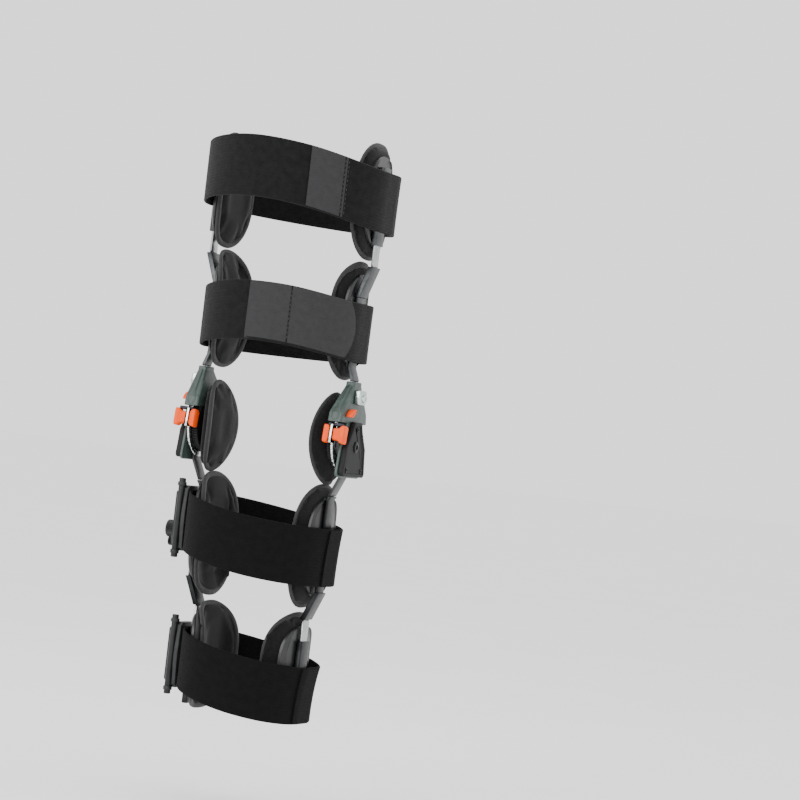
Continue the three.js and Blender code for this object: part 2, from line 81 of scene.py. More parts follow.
# %% Camera
VIEW_TURN = math.radians(24)
VIEW_ROLL = math.radians(6.6)
DISTANCE = 3000.0
MM_PER_PIXEL = 1.03
IMAGE_PIXELS = 800
KNEE_PIXEL = (273, 432)
SENSOR = 36.0

across = Vector((math.cos(VIEW_TURN), math.sin(VIEW_TURN), 0))
upward = Vector((0, 0, 1))
right = across * math.cos(VIEW_ROLL) + upward * math.sin(VIEW_ROLL)
top = upward * math.cos(VIEW_ROLL) - across * math.sin(VIEW_ROLL)
away = Vector((math.sin(VIEW_TURN), -math.cos(VIEW_TURN), 0)) * DISTANCE
middle = IMAGE_PIXELS / 2
aim = (right * (middle - KNEE_PIXEL[0]) + top * (KNEE_PIXEL[1] - middle)) * MM_PER_PIXEL
back = (away - aim).normalized()
side = top.cross(back).normalized()

camera_data = bpy.data.cameras.new("camera")
camera_data.sensor_width = SENSOR
camera_data.lens = SENSOR * DISTANCE / (IMAGE_PIXELS * MM_PER_PIXEL)
camera = bpy.data.objects.new("camera", camera_data)
bpy.context.scene.collection.objects.link(camera)
turn = Matrix((side, back.cross(side), back)).transposed().to_4x4()
camera.matrix_world = Matrix.Translation(away * MM) @ turn
bpy.context.scene.camera = camera
print("lens in mm:", round(camera_data.lens, 1))

# %% [markdown]
# ## Making meshes
# A body is a stack of closed loops with the same number of points: neighbours are joined by quads and
# the two ends are closed, or the last loop is joined to the first. The faces are turned outwards by the
# sign of the volume. A UV map holds real distances in metres along and round the body, so a weave can
# follow the cloth.


# %% Mesh tools
def grid_faces(rows, cols, ring):
    """Corner indices of the quads between loops: each quad joins two neighbours of one loop to the next."""
    last = rows if ring else rows - 1
    j, i = np.meshgrid(np.arange(last), np.arange(cols), indexing="ij")
    k = (i + 1) % cols
    below = (j + 1) % rows
    return np.stack([j * cols + i, j * cols + k, below * cols + k, below * cols + i], -1).reshape(-1, 4)


def distances(loops, ring):
    """UV of each quad corner: the way run along the body and round its loop, in metres."""
    rows, cols, _ = loops.shape
    along = np.linalg.norm(np.diff(loops.mean(1), axis=0, append=loops[:1].mean(1)), axis=1)
    around = np.linalg.norm(np.diff(loops[rows // 2], axis=0, append=loops[rows // 2][:1]), axis=1)
    u = np.concatenate([[0], np.cumsum(along)]) * MM
    v = np.concatenate([[0], np.cumsum(around)]) * MM
    last = rows if ring else rows - 1
    j, i = np.meshgrid(np.arange(last), np.arange(cols), indexing="ij")
    return np.stack([
        np.stack([u[j], u[j], u[j + 1], u[j + 1]], -1),
        np.stack([v[i], v[i + 1], v[i + 1], v[i]], -1),
    ], -1).reshape(-1, 2)


def volume(points, faces):
    """Signed volume of a closed quad mesh: a sixth of the triple products of its triangles."""
    a, b, c, d = (points[faces[:, k]] for k in range(4))
    return float(np.sum(np.cross(b - a, c - a) * a) + np.sum(np.cross(c - a, d - a) * a)) / 6


def mesh_of(name, parts, ring=False, sharp=40.0):
    """One mesh from several stacks of loops, each outward facing and closed."""
    points, faces, uvs, count = [], [], [], 0
    for loops in parts:
        rows, cols, _ = loops.shape
        flat = loops.reshape(-1, 3)
        quads, uv = grid_faces(rows, cols, ring), distances(loops, ring)
        ends = [] if ring else [np.arange(cols)[::-1], (rows - 1) * cols + np.arange(cols)]
        if volume(flat - flat.mean(0), quads) < 0:
            quads = quads[:, ::-1]
            uv = uv.reshape(-1, 4, 2)[:, ::-1].reshape(-1, 2)
            ends = [end[::-1] for end in ends]
        points.append(flat * MM)
        faces += (quads + count).tolist() + [(end + count).tolist() for end in ends]
        uvs += [uv] + [np.zeros((cols, 2)) for _ in ends]
        count += len(flat)
    mesh = bpy.data.meshes.new(name)
    mesh.from_pydata(np.concatenate(points).tolist(), [], faces)
    layer = mesh.uv_layers.new(name="flat")
    layer.data.foreach_set("uv", np.concatenate(uvs).astype(np.float32).ravel())
    mesh.shade_smooth()
    mesh.set_sharp_from_angle(angle=math.radians(sharp))
    return mesh


def piece(name, mesh, finish, body, nodes=()):
    """Puts a mesh in the scene with its finish, on the body that carries it, in place of its nodes."""
    mesh.materials.append(finish)
    made = bpy.data.objects.new(name, mesh)
    bpy.context.scene.collection.objects.link(made)
    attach(made, body)
    if nodes:
        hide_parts(*nodes)
    return made


SIDES = {"medial": np.array([1, 1, 1]), "lateral": np.array([-1, 1, 1])}


def pair(name, parts, finish, body, slot, replaced=True, ending="_made", **options):
    """A piece drawn on the inner side, and its mirror image on the outer one. A body with a gap in its
    name is the stop's own on that side."""
    for where, flip in SIDES.items():
        node = f"{name}_{where}"
        mesh = mesh_of(node, [loops * flip for loops in parts], **options)
        own = body.format("inner" if where == "medial" else "outer")
        piece(node + ending, mesh, finish, own, [node] if replaced else ())


# %% [markdown]
# ## Finishes
# Every material starts from a real one. One function turns a hex colour into linear light, and one adds
# a node with its settings and links. Pattern scales come from real sizes: a noise of scale 1000 has
# features about a millimetre across.


# %% Material tools
def linear(hex_colour):
    """Linear RGBA of an sRGB hex colour: the standard curve, undone channel by channel."""
    channels = np.array([int(hex_colour[k:k + 2], 16) for k in (1, 3, 5)]) / 255
    curve = np.where(channels <= 0.04045, channels / 12.92, ((channels + 0.055) / 1.055) ** 2.4)
    return (*curve.tolist(), 1.0)


def add_node(tree, kind, inputs=None, links=None, **settings):
    """Adds a node, sets its properties and sockets, and links sockets of other nodes to it."""
    made = tree.nodes.new(kind)
    for key, value in settings.items():
        setattr(made, key, value)
    for key, value in (inputs or {}).items():
        made.inputs[key].default_value = value
    for key, source in (links or {}).items():
        tree.links.new(source, made.inputs[key])
    return made


def blank(name, roughness, metallic=0.0, **sockets):
    """A material with only its shader; sockets are set on the shader itself."""
    material = bpy.data.materials.new(name)
    material.use_nodes = True
    tree = material.node_tree
    shader = tree.nodes["Principled BSDF"]
    shader.inputs["Roughness"].default_value = roughness
    shader.inputs["Metallic"].default_value = metallic
    for key, value in sockets.items():
        shader.inputs[key.replace("_", " ")].default_value = value
    return material, tree, shader


def mottled(tree, shader, where, dark, light, size_mm):
    """Colour that drifts between two tones over patches of the given size."""
    noise = add_node(tree, "ShaderNodeTexNoise", {"Scale": 1 / (size_mm * MM), "Detail": 3.0},
                     {"Vector": where})
    ramp = add_node(tree, "ShaderNodeValToRGB", links={"Fac": noise.outputs["Fac"]})
    ramp.color_ramp.elements[0].position, ramp.color_ramp.elements[0].color = 0.3, linear(dark)
    ramp.color_ramp.elements[1].position, ramp.color_ramp.elements[1].color = 0.7, linear(light)
    tree.links.new(ramp.outputs["Color"], shader.inputs["Base Color"])
    return ramp


def grain(tree, shader, where, size_mm, depth_mm):
    """A raised grain of the given size and depth, as bump."""
    noise = add_node(tree, "ShaderNodeTexNoise", {"Scale": 1 / (size_mm * MM), "Detail": 2.0},
                     {"Vector": where})
    bump = add_node(tree, "ShaderNodeBump", {"Strength": 1.0, "Distance": depth_mm * MM},
                    {"Height": noise.outputs["Fac"]})
    tree.links.new(bump.outputs["Normal"], shader.inputs["Normal"])


def grained(name, dark, light, patch_mm, grain_mm, depth_mm, roughness, metallic=0.0, **sockets):
    """A material with a mottled colour and a raised grain, both fixed to the piece."""
    material, tree, shader = blank(name, roughness, metallic, **sockets)
    place = add_node(tree, "ShaderNodeTexCoord").outputs["Object"]
    mottled(tree, shader, place, dark, light, patch_mm)
    grain(tree, shader, place, grain_mm, depth_mm)
    return material


def woven(name, dark, light, rib_mm, depth_mm, sheen):
    """Ribbed webbing: waves of one rib along the cloth, over a mottled colour and a fine nap."""
    material, tree, shader = blank(name, 0.92, Sheen_Weight=sheen, Sheen_Roughness=0.45,
                                   Specular_IOR_Level=0.15)
    where = add_node(tree, "ShaderNodeUVMap", uv_map="flat").outputs["UV"]
    colour = mottled(tree, shader, where, dark, light, 7.0)
    ribs = add_node(tree, "ShaderNodeTexWave", {"Scale": 1 / (rib_mm * MM) / 20 * math.pi,
                    "Distortion": 1.2, "Detail": 2.0, "Detail Scale": 40.0},
                    {"Vector": where}, bands_direction="Y")
    nap = add_node(tree, "ShaderNodeTexNoise", {"Scale": 1 / (1.1 * MM), "Detail": 3.0}, {"Vector": where})
    height = add_node(tree, "ShaderNodeMath", links={0: ribs.outputs["Fac"], 1: nap.outputs["Fac"]},
                      operation="ADD")
    bump = add_node(tree, "ShaderNodeBump", {"Strength": 0.9, "Distance": depth_mm * MM},
                    {"Height": height.outputs[0]})
    tree.links.new(bump.outputs["Normal"], shader.inputs["Normal"])
    shade = add_node(tree, "ShaderNodeMix", {"Factor": 0.22},
                     {"A": colour.outputs["Color"], "B": nap.outputs["Fac"]},
                     data_type="RGBA", blend_type="OVERLAY")
    tree.links.new(shade.outputs["Result"], shader.inputs["Base Color"])
    return material


# %% Elastic, hook webbing, knit, tape and thread
# The straps are black woven elastic with a loop nap. Their ribs are about 1 mm apart and are drawn at
# 1.6 mm, so that they show. The calf straps take a darker copy of the same elastic as painted shade,
# and hook webbing is greyer and flatter.
elastic = woven("woven_elastic", "#0c0c0d", "#151516", 1.6, 0.18, 0.05)
elastic_with_painted_shade = woven("woven_elastic_painted_shade", "#040405", "#09090a", 1.6, 0.18, 0.0)
HOOK_TONES = ("#2a2a2b", "#353536")

# Foam pads are covered in black brushed knit, whose nap scatters light at its edges. Their edges are
# bound in a smoother tape, a little lighter where it is worn.
knit = grained("brushed_knit", "#0b0b0c", "#141415", 3.0, 1.2, 0.25, 0.95, Sheen_Weight=0.12,
               Sheen_Roughness=0.5, Specular_IOR_Level=0.1)
tape = grained("binding_tape", "#111112", "#1d1d1e", 5.0, 0.9, 0.15, 0.75, Sheen_Weight=0.1)

thread, tree, shader = blank("polyester_thread", 0.6)
place = add_node(tree, "ShaderNodeTexCoord").outputs["Object"]
mottled(tree, shader, place, "#141416", "#202023", 2.0)

# %% Moulded plastics
# Injection-moulded nylon and polypropylene: a spark-eroded mould leaves a fine even grain and a satin
# gloss. The hinge housing is a grey green, the stops are orange acetal, and the rest is near black.
def moulded(name, dark, light, roughness, grain_mm=0.8, depth_mm=0.04, **sockets):
    """A moulded plastic: tones drift over 9 mm, under the grain of its mould."""
    return grained(name, dark, light, 9.0, grain_mm, depth_mm, roughness, **sockets)


shell_plastic = moulded("shell_polypropylene", "#131415", "#1b1c1d", 0.36)
housing_plastic = moulded("housing_nylon", "#2c3934", "#3a4843", 0.45)
cover_plastic = moulded("cover_nylon", "#0a0b0b", "#111212", 0.6, 1.4, 0.12, Specular_IOR_Level=0.25)
stop_plastic = moulded("stop_acetal", "#ea4600", "#f45404", 0.5, Specular_IOR_Level=0.2)
buckle_plastic = moulded("buckle_nylon", "#101112", "#191a1b", 0.4, Specular_IOR_Level=0.3)
frame_plastic = moulded("buckle_frame_nylon", "#1d1e1f", "#2a2b2c", 0.42, Specular_IOR_Level=0.3)
cap_plastic = moulded("stop_cap_rubber", "#12121c", "#1c1c2a", 0.6)

# %% Metals
# Uprights are bead-blasted and anodised aluminium, so they are evenly matt with soft streaks from
# handling. The lower arms are powder coated. Discs and clips are polished steel.
def metal(name, dark, light, roughness, spread, grain_mm, depth_mm):
    """A metal whose roughness drifts by the spread over patches of 4 mm."""
    material = grained(name, dark, light, 12.0, grain_mm, depth_mm, roughness, 1.0)
    tree = material.node_tree
    place = add_node(tree, "ShaderNodeTexCoord").outputs["Object"]
    noise = add_node(tree, "ShaderNodeTexNoise", {"Scale": 1 / (4 * MM), "Detail": 4.0}, {"Vector": place})
    drift = add_node(tree, "ShaderNodeMapRange", {"To Min": roughness - spread,
                     "To Max": roughness + spread}, {"Value": noise.outputs["Fac"]})
    tree.links.new(drift.outputs["Result"], tree.nodes["Principled BSDF"].inputs["Roughness"])
    return material


aluminium = metal("blasted_aluminium", "#3e4041", "#535556", 0.4, 0.08, 0.7, 0.03)
dark_aluminium = metal("dark_anodised_aluminium", "#242526", "#343536", 0.38, 0.08, 0.7, 0.03)
bright_aluminium = metal("bright_aluminium", "#9a9c9d", "#b4b6b7", 0.25, 0.06, 0.9, 0.02)
steel = metal("polished_steel", "#d2d4d5", "#e4e6e7", 0.17, 0.05, 1.5, 0.01)
# The lock is plated steel tinted grey green: the tint is a painted reflection of the housing beside it.
plated = metal("plate_with_painted_reflection", "#a9b8b3", "#c9d3d0", 0.22, 0.06, 1.2, 0.01)
blacked = metal("black_oxide_steel", "#1b1c1d", "#2b2c2d", 0.4, 0.08, 0.9, 0.02)
coat = grained("powder_coat", "#1a1b1c", "#262728", 6.0, 0.9, 0.06, 0.45, Coat_Weight=0.15)
print("finishes made:", len(bpy.data.materials))

# %% [markdown]
# ## The limb's outline
# A strap runs round the limb on two half ellipses, joined by a flat over each upright. The same outline
# carries the straps, their turned ends, the shells and the pads, so these functions come first. Heights
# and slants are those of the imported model; its boxes give the widths and depths.

# %% Levels
# half the flat over an upright, how far the limb's middle lies behind the axis, the strap's thickness and
# the gap between pieces; then how far a shell is set in, its thickness, a pad's and the gap over the pad
FLAT = 12.0
SHIFT = 4.0
STRAP = 2.5
SEAT = 0.3
SHELL_INSET = 12.0
SHELL_THICK = 2.2
PAD_THICK = 9.0
PAD_SEAT = 0.8

# height, slant and rise place the strap's middle and width is its own; cover is how much of the front's
# inner half the turned end covers, dark how far the elastic shows from its fold, bow how far the line
# between the two tones curves, and seams the distances of its rows of stitches from its tip; pad_half is
# a pad's half width, lean the way its end away from the knee moves; upright is what passes under the
# strap, flare how far the strap's upper edge stands off the inner upright, rear how much of the swell
# its back keeps, none next to the knee, where two straps come close when it is bent, and buckle the way
# from the outer upright back to the buckle
LEVELS = {
    "thigh_upper": {"height": 251, "slant": 3.9, "rise": 13, "width": 62, "cover": 0.7, "dark": 86,
                    "bow": 0.0, "seams": (36, 40), "pad_half": 40, "lean": 0, "upright": 6, "flare": 1.5,
                    "rear": 1.0, "buckle": 34, "body": "thigh_cuff"},
    "thigh_lower": {"height": 110, "slant": 0, "rise": 10, "width": 60, "cover": 1.04, "dark": 34,
                    "bow": -13.0, "seams": (44,), "pad_half": 40, "lean": 8, "upright": 4, "flare": 1.0,
                    "rear": 0.0, "buckle": 34, "body": "thigh_frame"},
    "calf_upper": {"height": -110, "slant": 8.4, "rise": -4, "width": 60, "cover": 0.03, "dark": 0,
                   "seams": (), "pad_half": 45, "lean": -11, "upright": 4, "flare": 4.0,
                   "rear": 0.0, "buckle": -12, "body": "shank_frame"},
    "calf_lower": {"height": -251, "slant": 10.3, "rise": -3, "width": 60, "cover": 0.12, "dark": 0,
                   "seams": (), "pad_half": 48, "lean": 0, "upright": 6, "flare": 7.0,
                   "rear": 1.0, "buckle": -12, "body": "shank_cuff"},
}
for name, level in LEVELS.items():
    low, high = node_box(f"{name}_strap")
    level.update(half=high[0], front=SHIFT - low[1], back=high[1] - SHIFT)
    low, high = node_box(f"{name}_pad_medial")
    level.update(pad=(low[2] + high[2]) / 2, tall=high[2] - low[2])
    print(name, "half width", round(level["half"], 1), "pad height", round(level["tall"], 1))


def outline(level, out, share, front):
    """x and y at a share of a half turn from the inner flat, on the front (1) or the rear (-1): the
    ellipse's cosine across, and its sine beyond the flat, each grown by out."""
    deep = np.where(front > 0, level["front"], level["back"]) + out - FLAT
    x = (level["half"] + out) * np.cos(np.pi * share)
    y = SHIFT - front * (FLAT + deep * np.sin(np.pi * share))
    return x, y


def lift(level, x, y):
    """Height of a strap's middle above its level: the slant across plus the front's squared rise."""
    ahead = np.clip((SHIFT - FLAT - y) / (level["front"] - FLAT), 0, None)
    return -x * math.tan(math.radians(level["slant"])) + level["rise"] * ahead ** 2


# %% [markdown]
# ## Straps
# A strap is 60 mm elastic, 2.5 mm thick, and real elastic is never quite even: it bulges a little where
# it spans soft tissue and its edges turn in. A flat band with half-round edges is carried round the
# outline, and low waves are added that die out over the uprights, where the metal holds it flat.


# %% Straps
def band_section(width, thick, count=25):
    """A flat band's loop: two straight faces and two half-round edges, as offsets out and heights."""
    radius = thick / 2
    face = np.linspace(-1, 1, count) * (width / 2 - radius)
    arc = np.linspace(0, np.pi, 8)[1:-1]
    out = np.concatenate([0 * face, radius * (np.cos(arc) - 1), 0 * face - thick,
                          radius * (-np.cos(arc) - 1)])
    height = np.concatenate([face, width / 2 - radius + radius * np.sin(arc), face[::-1],
                             radius - width / 2 - radius * np.sin(arc)])
    return out, height


def wave(level, share, front, height):
    """Low swells of a stretched strap: two slow sines along it, one tilted, faded out at the uprights,
    and over the inner upright a flare that grows with the square of the height share."""
    fade = np.sin(np.pi * share) ** 4 * np.where(front < 0, level["rear"], 1.0)
    phase = level["height"] * 0.05 + (front < 0) * 2.0
    v = height / (level["width"] / 2)
    slow = np.sin(9 * share + phase) * 0.9 + np.sin(21 * share + 2.3 * v + phase) * 0.5
    flare = level["flare"] * ((v + 1) / 2) ** 2 * np.exp(-(share / 0.16) ** 2)
    return fade * (0.9 + slow - 1.1 * v ** 4) + flare


def carried(level, share, front, base, width, thick):
    """A band's loops: the section set out from the outline by base, at each station of the run."""
    out, height = band_section(width, thick)
    share, front = share[:, None], front[:, None]
    proud = base + out[None, :] + wave(level, share, front, height[None, :])
    x, y = outline(level, proud, share, front)
    z = level["height"] + lift(level, x, y) + height[None, :]
    return np.stack([x, y, z], -1)


def strap_run(steps=130):
    """Stations of a closed strap: over the front from the inner side and back over the rear."""
    share = np.linspace(0, 1, steps)
    return np.concatenate([share, share[::-1]]), np.repeat([1, -1], steps)


for name, level in LEVELS.items():
    share, front = strap_run()
    mesh = mesh_of(f"{name}_strap", [carried(level, share, front, 0, level["width"], STRAP)], ring=True)
    # the calf straps take the darker copy of the elastic: painted shade
    finish = elastic if level["dark"] else elastic_with_painted_shade
    piece(f"{name}_strap_made", mesh, finish, level["body"], [f"{name}_strap"])
print("straps made")

# %% [markdown]
# ## Turned ends
# Each strap's end comes back round the inner upright and is fastened on the front. It is a second band
# over the first. On the thigh its tip is greyer hook webbing, sewn to the elastic with rows of stitches,
# so the colour changes with the distance from the fold. On the calf only a short end shows.

# %% Turned ends
LAYER = 2.0
LAYER_WIDTH = 0.97


def end_run(level, steps=90):
    """Stations of a turned end: the flat's rear end first, then over the front as far as it covers."""
    share = np.concatenate([[0, 0, 0], np.linspace(0, level["cover"] / 2, steps)])
    front = np.concatenate([[-1, -0.6, 0.2], np.ones(steps)])
    return share, front


def two_tone(base, tip, limit, bow, width, seams):
    """A copy of the elastic that changes to the tip's webbing past a distance along the cloth. The line
    between them bows by the square of the way from the strap's middle. Each seam is painted as a dark line,
    for its dark thread and as painted shade of its groove."""
    material = base.copy()
    material.name = f"{base.name}_with_tip_{round(limit)}"
    tree = material.node_tree
    shader = tree.nodes["Principled BSDF"]
    cloth = add_node(tree, "ShaderNodeUVMap", uv_map="flat").outputs["UV"]
    apart = add_node(tree, "ShaderNodeSeparateXYZ", links={"Vector": cloth})
    off = add_node(tree, "ShaderNodeMath", {1: width / 2 * MM}, {0: apart.outputs["Y"]},
                   operation="SUBTRACT").outputs[0]
    square = add_node(tree, "ShaderNodeMath", links={0: off, 1: off}, operation="MULTIPLY").outputs[0]
    bowed = add_node(tree, "ShaderNodeMath", {1: bow / (width / 2) ** 2 / MM},
                     {0: square, 2: apart.outputs["X"]}, operation="MULTIPLY_ADD").outputs[0]
    past = add_node(tree, "ShaderNodeMath", {1: limit * MM}, {0: bowed}, operation="GREATER_THAN")
    plain = shader.inputs["Base Color"].links[0].from_socket
    noise = add_node(tree, "ShaderNodeTexNoise", {"Scale": 1 / (6 * MM), "Detail": 3.0}, {"Vector": cloth})
    tone = add_node(tree, "ShaderNodeMix", {"A": linear(tip[0]), "B": linear(tip[1])},
                    {"Factor": noise.outputs["Fac"]}, data_type="RGBA")
    mix = add_node(tree, "ShaderNodeMix", data_type="RGBA", links={
        "Factor": past.outputs[0], "A": plain, "B": tone.outputs["Result"]})
    # each row of stitches is painted as a dark line: the thread's colour and painted shade of its groove
    for seam in seams:
        near = add_node(tree, "ShaderNodeMath", {1: seam * MM, 2: 0.7 * MM}, {0: apart.outputs["X"]},
                        operation="COMPARE")
        mix = add_node(tree, "ShaderNodeMix", {"B": linear("#0c0c0c")},
                       {"Factor": near.outputs[0], "A": mix.outputs["Result"]}, data_type="RGBA")
    tree.links.new(mix.outputs["Result"], shader.inputs["Base Color"])
    return material


def stitches(level, share_at, base, length=3.4, pitch=4.6, radius=0.38):
    """Rows of thread across a strap: small spindles laid end to end over its width at one share."""
    count = int(level["width"] * LAYER_WIDTH * 0.92 / pitch)
    centre = (np.arange(count) - (count - 1) / 2) * pitch
    t = np.linspace(-1, 1, 5)
    angle = np.linspace(0, 2 * np.pi, 7)[:-1]
    thick = radius * np.sqrt(np.clip(1.04 - t ** 2, 0.02, 1))
    parts = []
    share = np.array([[share_at]])
    for middle_height in centre:
        height = (middle_height + t * length / 2)[:, None] + 0 * angle
        proud = base + 0.1 + wave(level, share, 1, height) + thick[:, None] * np.cos(angle)
        x, y = outline(level, proud, share, 1)
        sideways = thick[:, None] * np.sin(angle)
        turned = np.pi * share_at
        ahead = -np.array([level["half"] * np.sin(turned), level["front"] * np.cos(turned)])
        ahead /= np.linalg.norm(ahead)
        x, y = x + sideways * ahead[0], y + sideways * ahead[1]
        parts.append(np.stack([x, y, level["height"] + lift(level, x, y) + height], -1))
    return parts


for name, level in LEVELS.items():
    share, front = end_run(level)
    base = SEAT + LAYER
    loops = carried(level, share, front, base, level["width"] * LAYER_WIDTH, LAYER)
    spine = loops.mean(1)
    way = np.concatenate([[0], np.cumsum(np.linalg.norm(np.diff(spine, axis=0), axis=1))])
    # the calf's turned ends take the darker copy of the elastic: painted shade
    finish = elastic_with_painted_shade
    if level["dark"]:
        seam_shade_at = [way[-1] - seam for seam in level["seams"]]
        finish = two_tone(elastic, HOOK_TONES, level["dark"], level["bow"], level["width"] * LAYER_WIDTH,
                          seam_shade_at)
    mesh = mesh_of(f"{name}_turned_end", [loops])
    piece(f"{name}_turned_end_made", mesh, finish, level["body"], [f"{name}_turned_end"])
    rows = [np.interp(way[-1] - seam, way, share) for seam in level["seams"]]
    parts = [part for row in rows for part in stitches(level, row, base)]
    if parts:
        piece(f"{name}_stitching", mesh_of(f"{name}_stitching", parts), thread, level["body"])
    print(name, "turned end length in mm:", round(way[-1]))

# %% [markdown]
# ## Pads
# Each side of the limb has a foam pad at every strap, 80 to 96 mm wide and 110 to 126 mm tall. Foam in a
# knit cover swells between its edges, so a slightly thin copy of the pad is remeshed, blown up as cloth
# with a little pressure, and stopped where the shell lies. The bound edge is made afterwards, because
# the remesh would lose it.

# %% Pad shapes
def beside(level, out, s):
    """x and y at a way s round from the upright's middle: straight on the flat, then on the ellipse."""
    deep = np.where(s < 0, level["front"], level["back"]) + out - FLAT
    turn_by = np.clip(np.abs(s) - FLAT, 0, None) / deep
    reach = np.minimum(np.abs(s), FLAT) + deep * np.sin(turn_by)
    return (level["half"] + out) * np.cos(turn_by), SHIFT + np.sign(s) * reach


def pad_width(v):
    """Share of a pad's half width at height share v: a rounded outline that closes at its ends."""
    return np.maximum(0.02, np.clip(1 - np.abs(v) ** 3.2, 0, 1) ** (1 / 2.4))


def pad_point(level, out, u, v, half, tall):
    """A point of a pad at shares u across and v up, the given way out from the strap's outside."""
    even = np.sin(v * np.pi / 2)
    x, y = beside(level, out, u * half * pad_width(even))
    far = np.clip(np.sign(level["pad"]) * even * tall / level["tall"], 0, None)
    return np.stack([x + level["lean"] * far ** 4, y + 0 * even, level["pad"] + even * tall / 2], -1)


def rounded_slab(place, thick, edge, across=30, up=44):
    """Loops of a slab: place(out, u, v) runs once round each height, out and back, with rounded sides;
    the first and last loops draw in to close its ends."""
    u = np.linspace(-1, 1, across)
    arc = np.linspace(0, np.pi, 7)[1:-1]
    run_u = np.concatenate([u, 1 + 0 * arc, u[::-1], -1 + 0 * arc])
    run_out = np.concatenate([0 * u, -thick * (1 - np.cos(arc)) / 2, 0 * u - thick,
                              -thick * (1 + np.cos(arc)) / 2])
    bulge = np.concatenate([0 * u, edge * np.sin(arc), 0 * u, edge * np.sin(arc)])
    v = np.concatenate([[-1, -1], np.linspace(-1, 1, up), [1, 1]])
    draw = np.concatenate([[0.0, 0.55], np.ones(up), [0.55, 0.0]])
    out = -thick / 2 + (run_out[None, :] + thick / 2) * (0.25 + 0.75 * draw[:, None])
    loops = place(out, run_u[None, :] * (1 + bulge[None, :]), np.broadcast_to(v[:, None], out.shape))
    ends = edge * 12 * (1 - draw[:, None]) * np.sign(v[:, None])
    loops[..., 2] += ends
    return loops


def shell_out(level):
    """How far out a shell's face lies from the strap's outside: past strap and upright, with gaps."""
    return -STRAP - SEAT - level["upright"] - SEAT


# %% [markdown]
# The simulation gives the same result each run: nothing in it is random.


# %% Swelling a pad
# the remesh's grid and the simulated frames; then what each face gives up before it swells, and the height
# of the bound edge
VOXEL = 4.0
FRAMES = 20
SLIM = 1.2
BOUND = 4.0


def swollen(name, loops, limit, face):
    """Remeshes a slab, blows it up as cloth for 20 frames, caps each point's way, and keeps each point's
    x under the face that lies over it."""
    mesh = mesh_of(name, [loops])
    made = bpy.data.objects.new(name, mesh)
    bpy.context.scene.collection.objects.link(made)
    remesh = made.modifiers.new("even", "REMESH")
    remesh.mode, remesh.voxel_size = "VOXEL", VOXEL * MM
    graph = bpy.context.evaluated_depsgraph_get()
    even = bpy.data.meshes.new_from_object(made.evaluated_get(graph))
    made.modifiers.clear()
    made.data = even
    start = np.empty(len(even.vertices) * 3, np.float32)
    even.vertices.foreach_get("co", start)
    start = start.reshape(-1, 3).astype(float)
    end = start
    cloth = made.modifiers.new("cloth", "CLOTH")
    cloth.settings.use_pressure = True
    cloth.settings.uniform_pressure_force = 4
    cloth.settings.effector_weights.gravity = 0
    cloth.point_cache.frame_start, cloth.point_cache.frame_end = 1, FRAMES
    for step in range(1, FRAMES + 1):
        bpy.context.scene.frame_set(step)
    graph = bpy.context.evaluated_depsgraph_get()
    blown = made.evaluated_get(graph).to_mesh()
    end = np.empty(len(even.vertices) * 3, np.float32)
    blown.vertices.foreach_get("co", end)
    end = end.reshape(-1, 3).astype(float)
    made.evaluated_get(graph).to_mesh_clear()
    made.modifiers.clear()
    bpy.context.scene.frame_set(1)
    way = end - start
    length = np.linalg.norm(way, axis=1, keepdims=True)
    held = (start + way * np.minimum(1, limit * MM / np.maximum(length, 1e-9))) / MM
    held[:, 0] = np.minimum(held[:, 0], face(held))
    faces = [tuple(p.vertices) for p in even.polygons]
    bpy.data.objects.remove(made)
    print(name, "points", len(held), "greatest way in mm", round(float(length.max()) / MM, 1))
    return held * MM, faces


def tape_loops(path, thick):
    """A bound edge: an oval section carried round a closed path, its long side across the pad."""
    angle = np.linspace(0, 2 * np.pi, 13)[:-1]
    ahead = np.roll(path, -1, 0) - np.roll(path, 1, 0)
    ahead /= np.linalg.norm(ahead, axis=1, keepdims=True)
    across_pad = np.cross(ahead, [1.0, 0, 0])
    across_pad /= np.linalg.norm(across_pad, axis=1, keepdims=True)
    normal = np.cross(across_pad, ahead)
    round_a = np.sign(np.cos(angle)) * np.abs(np.cos(angle)) ** 0.8
    round_b = np.sign(np.sin(angle)) * np.abs(np.sin(angle)) ** 0.8
    return (path[:, None] + across_pad[:, None] * round_b[None, :, None] * thick / 2
            + normal[:, None] * round_a[None, :, None] * BOUND / 2)


def padded_pair(name, points, faces, edge, thick, body):
    """A swollen pad and its bound edge on each side; the outer one's faces are turned round again."""
    for where, flip in SIDES.items():
        node = f"{name}_{where}"
        mesh = bpy.data.meshes.new(node)
        turned = [face[::-1] for face in faces] if flip[0] < 0 else faces
        mesh.from_pydata((points * flip).tolist(), [], turned)
        mesh.shade_smooth()
        pad = piece(f"{node}_made", mesh, knit, body, [node])
        finer = pad.modifiers.new("finer", "SUBSURF")
        finer.levels = finer.render_levels = 1
    bound = tape_loops(edge, thick)
    pair(name.replace("pad", "binding"), [bound], tape, body, "foam", False, "", ring=True)


# %% Pads at the straps
def pad_edge(level, out, half, tall, count=120):
    """The pad's edge as a closed path at one depth: up one side and down the other."""
    v = np.linspace(-1, 1, count // 2)
    u = np.concatenate([np.ones(count // 2), -np.ones(count // 2)])
    path = pad_point(level, out, u, np.concatenate([v, v[::-1]]), half, tall)
    step = np.linalg.norm(np.roll(path, -1, 0) - path, axis=1)
    way = np.concatenate([[0], np.cumsum(step)])
    closed = np.concatenate([path, path[:1]])
    even = np.linspace(0, way[-1], count, endpoint=False)
    return np.stack([np.interp(even, way, closed[:, k]) for k in range(3)], -1)


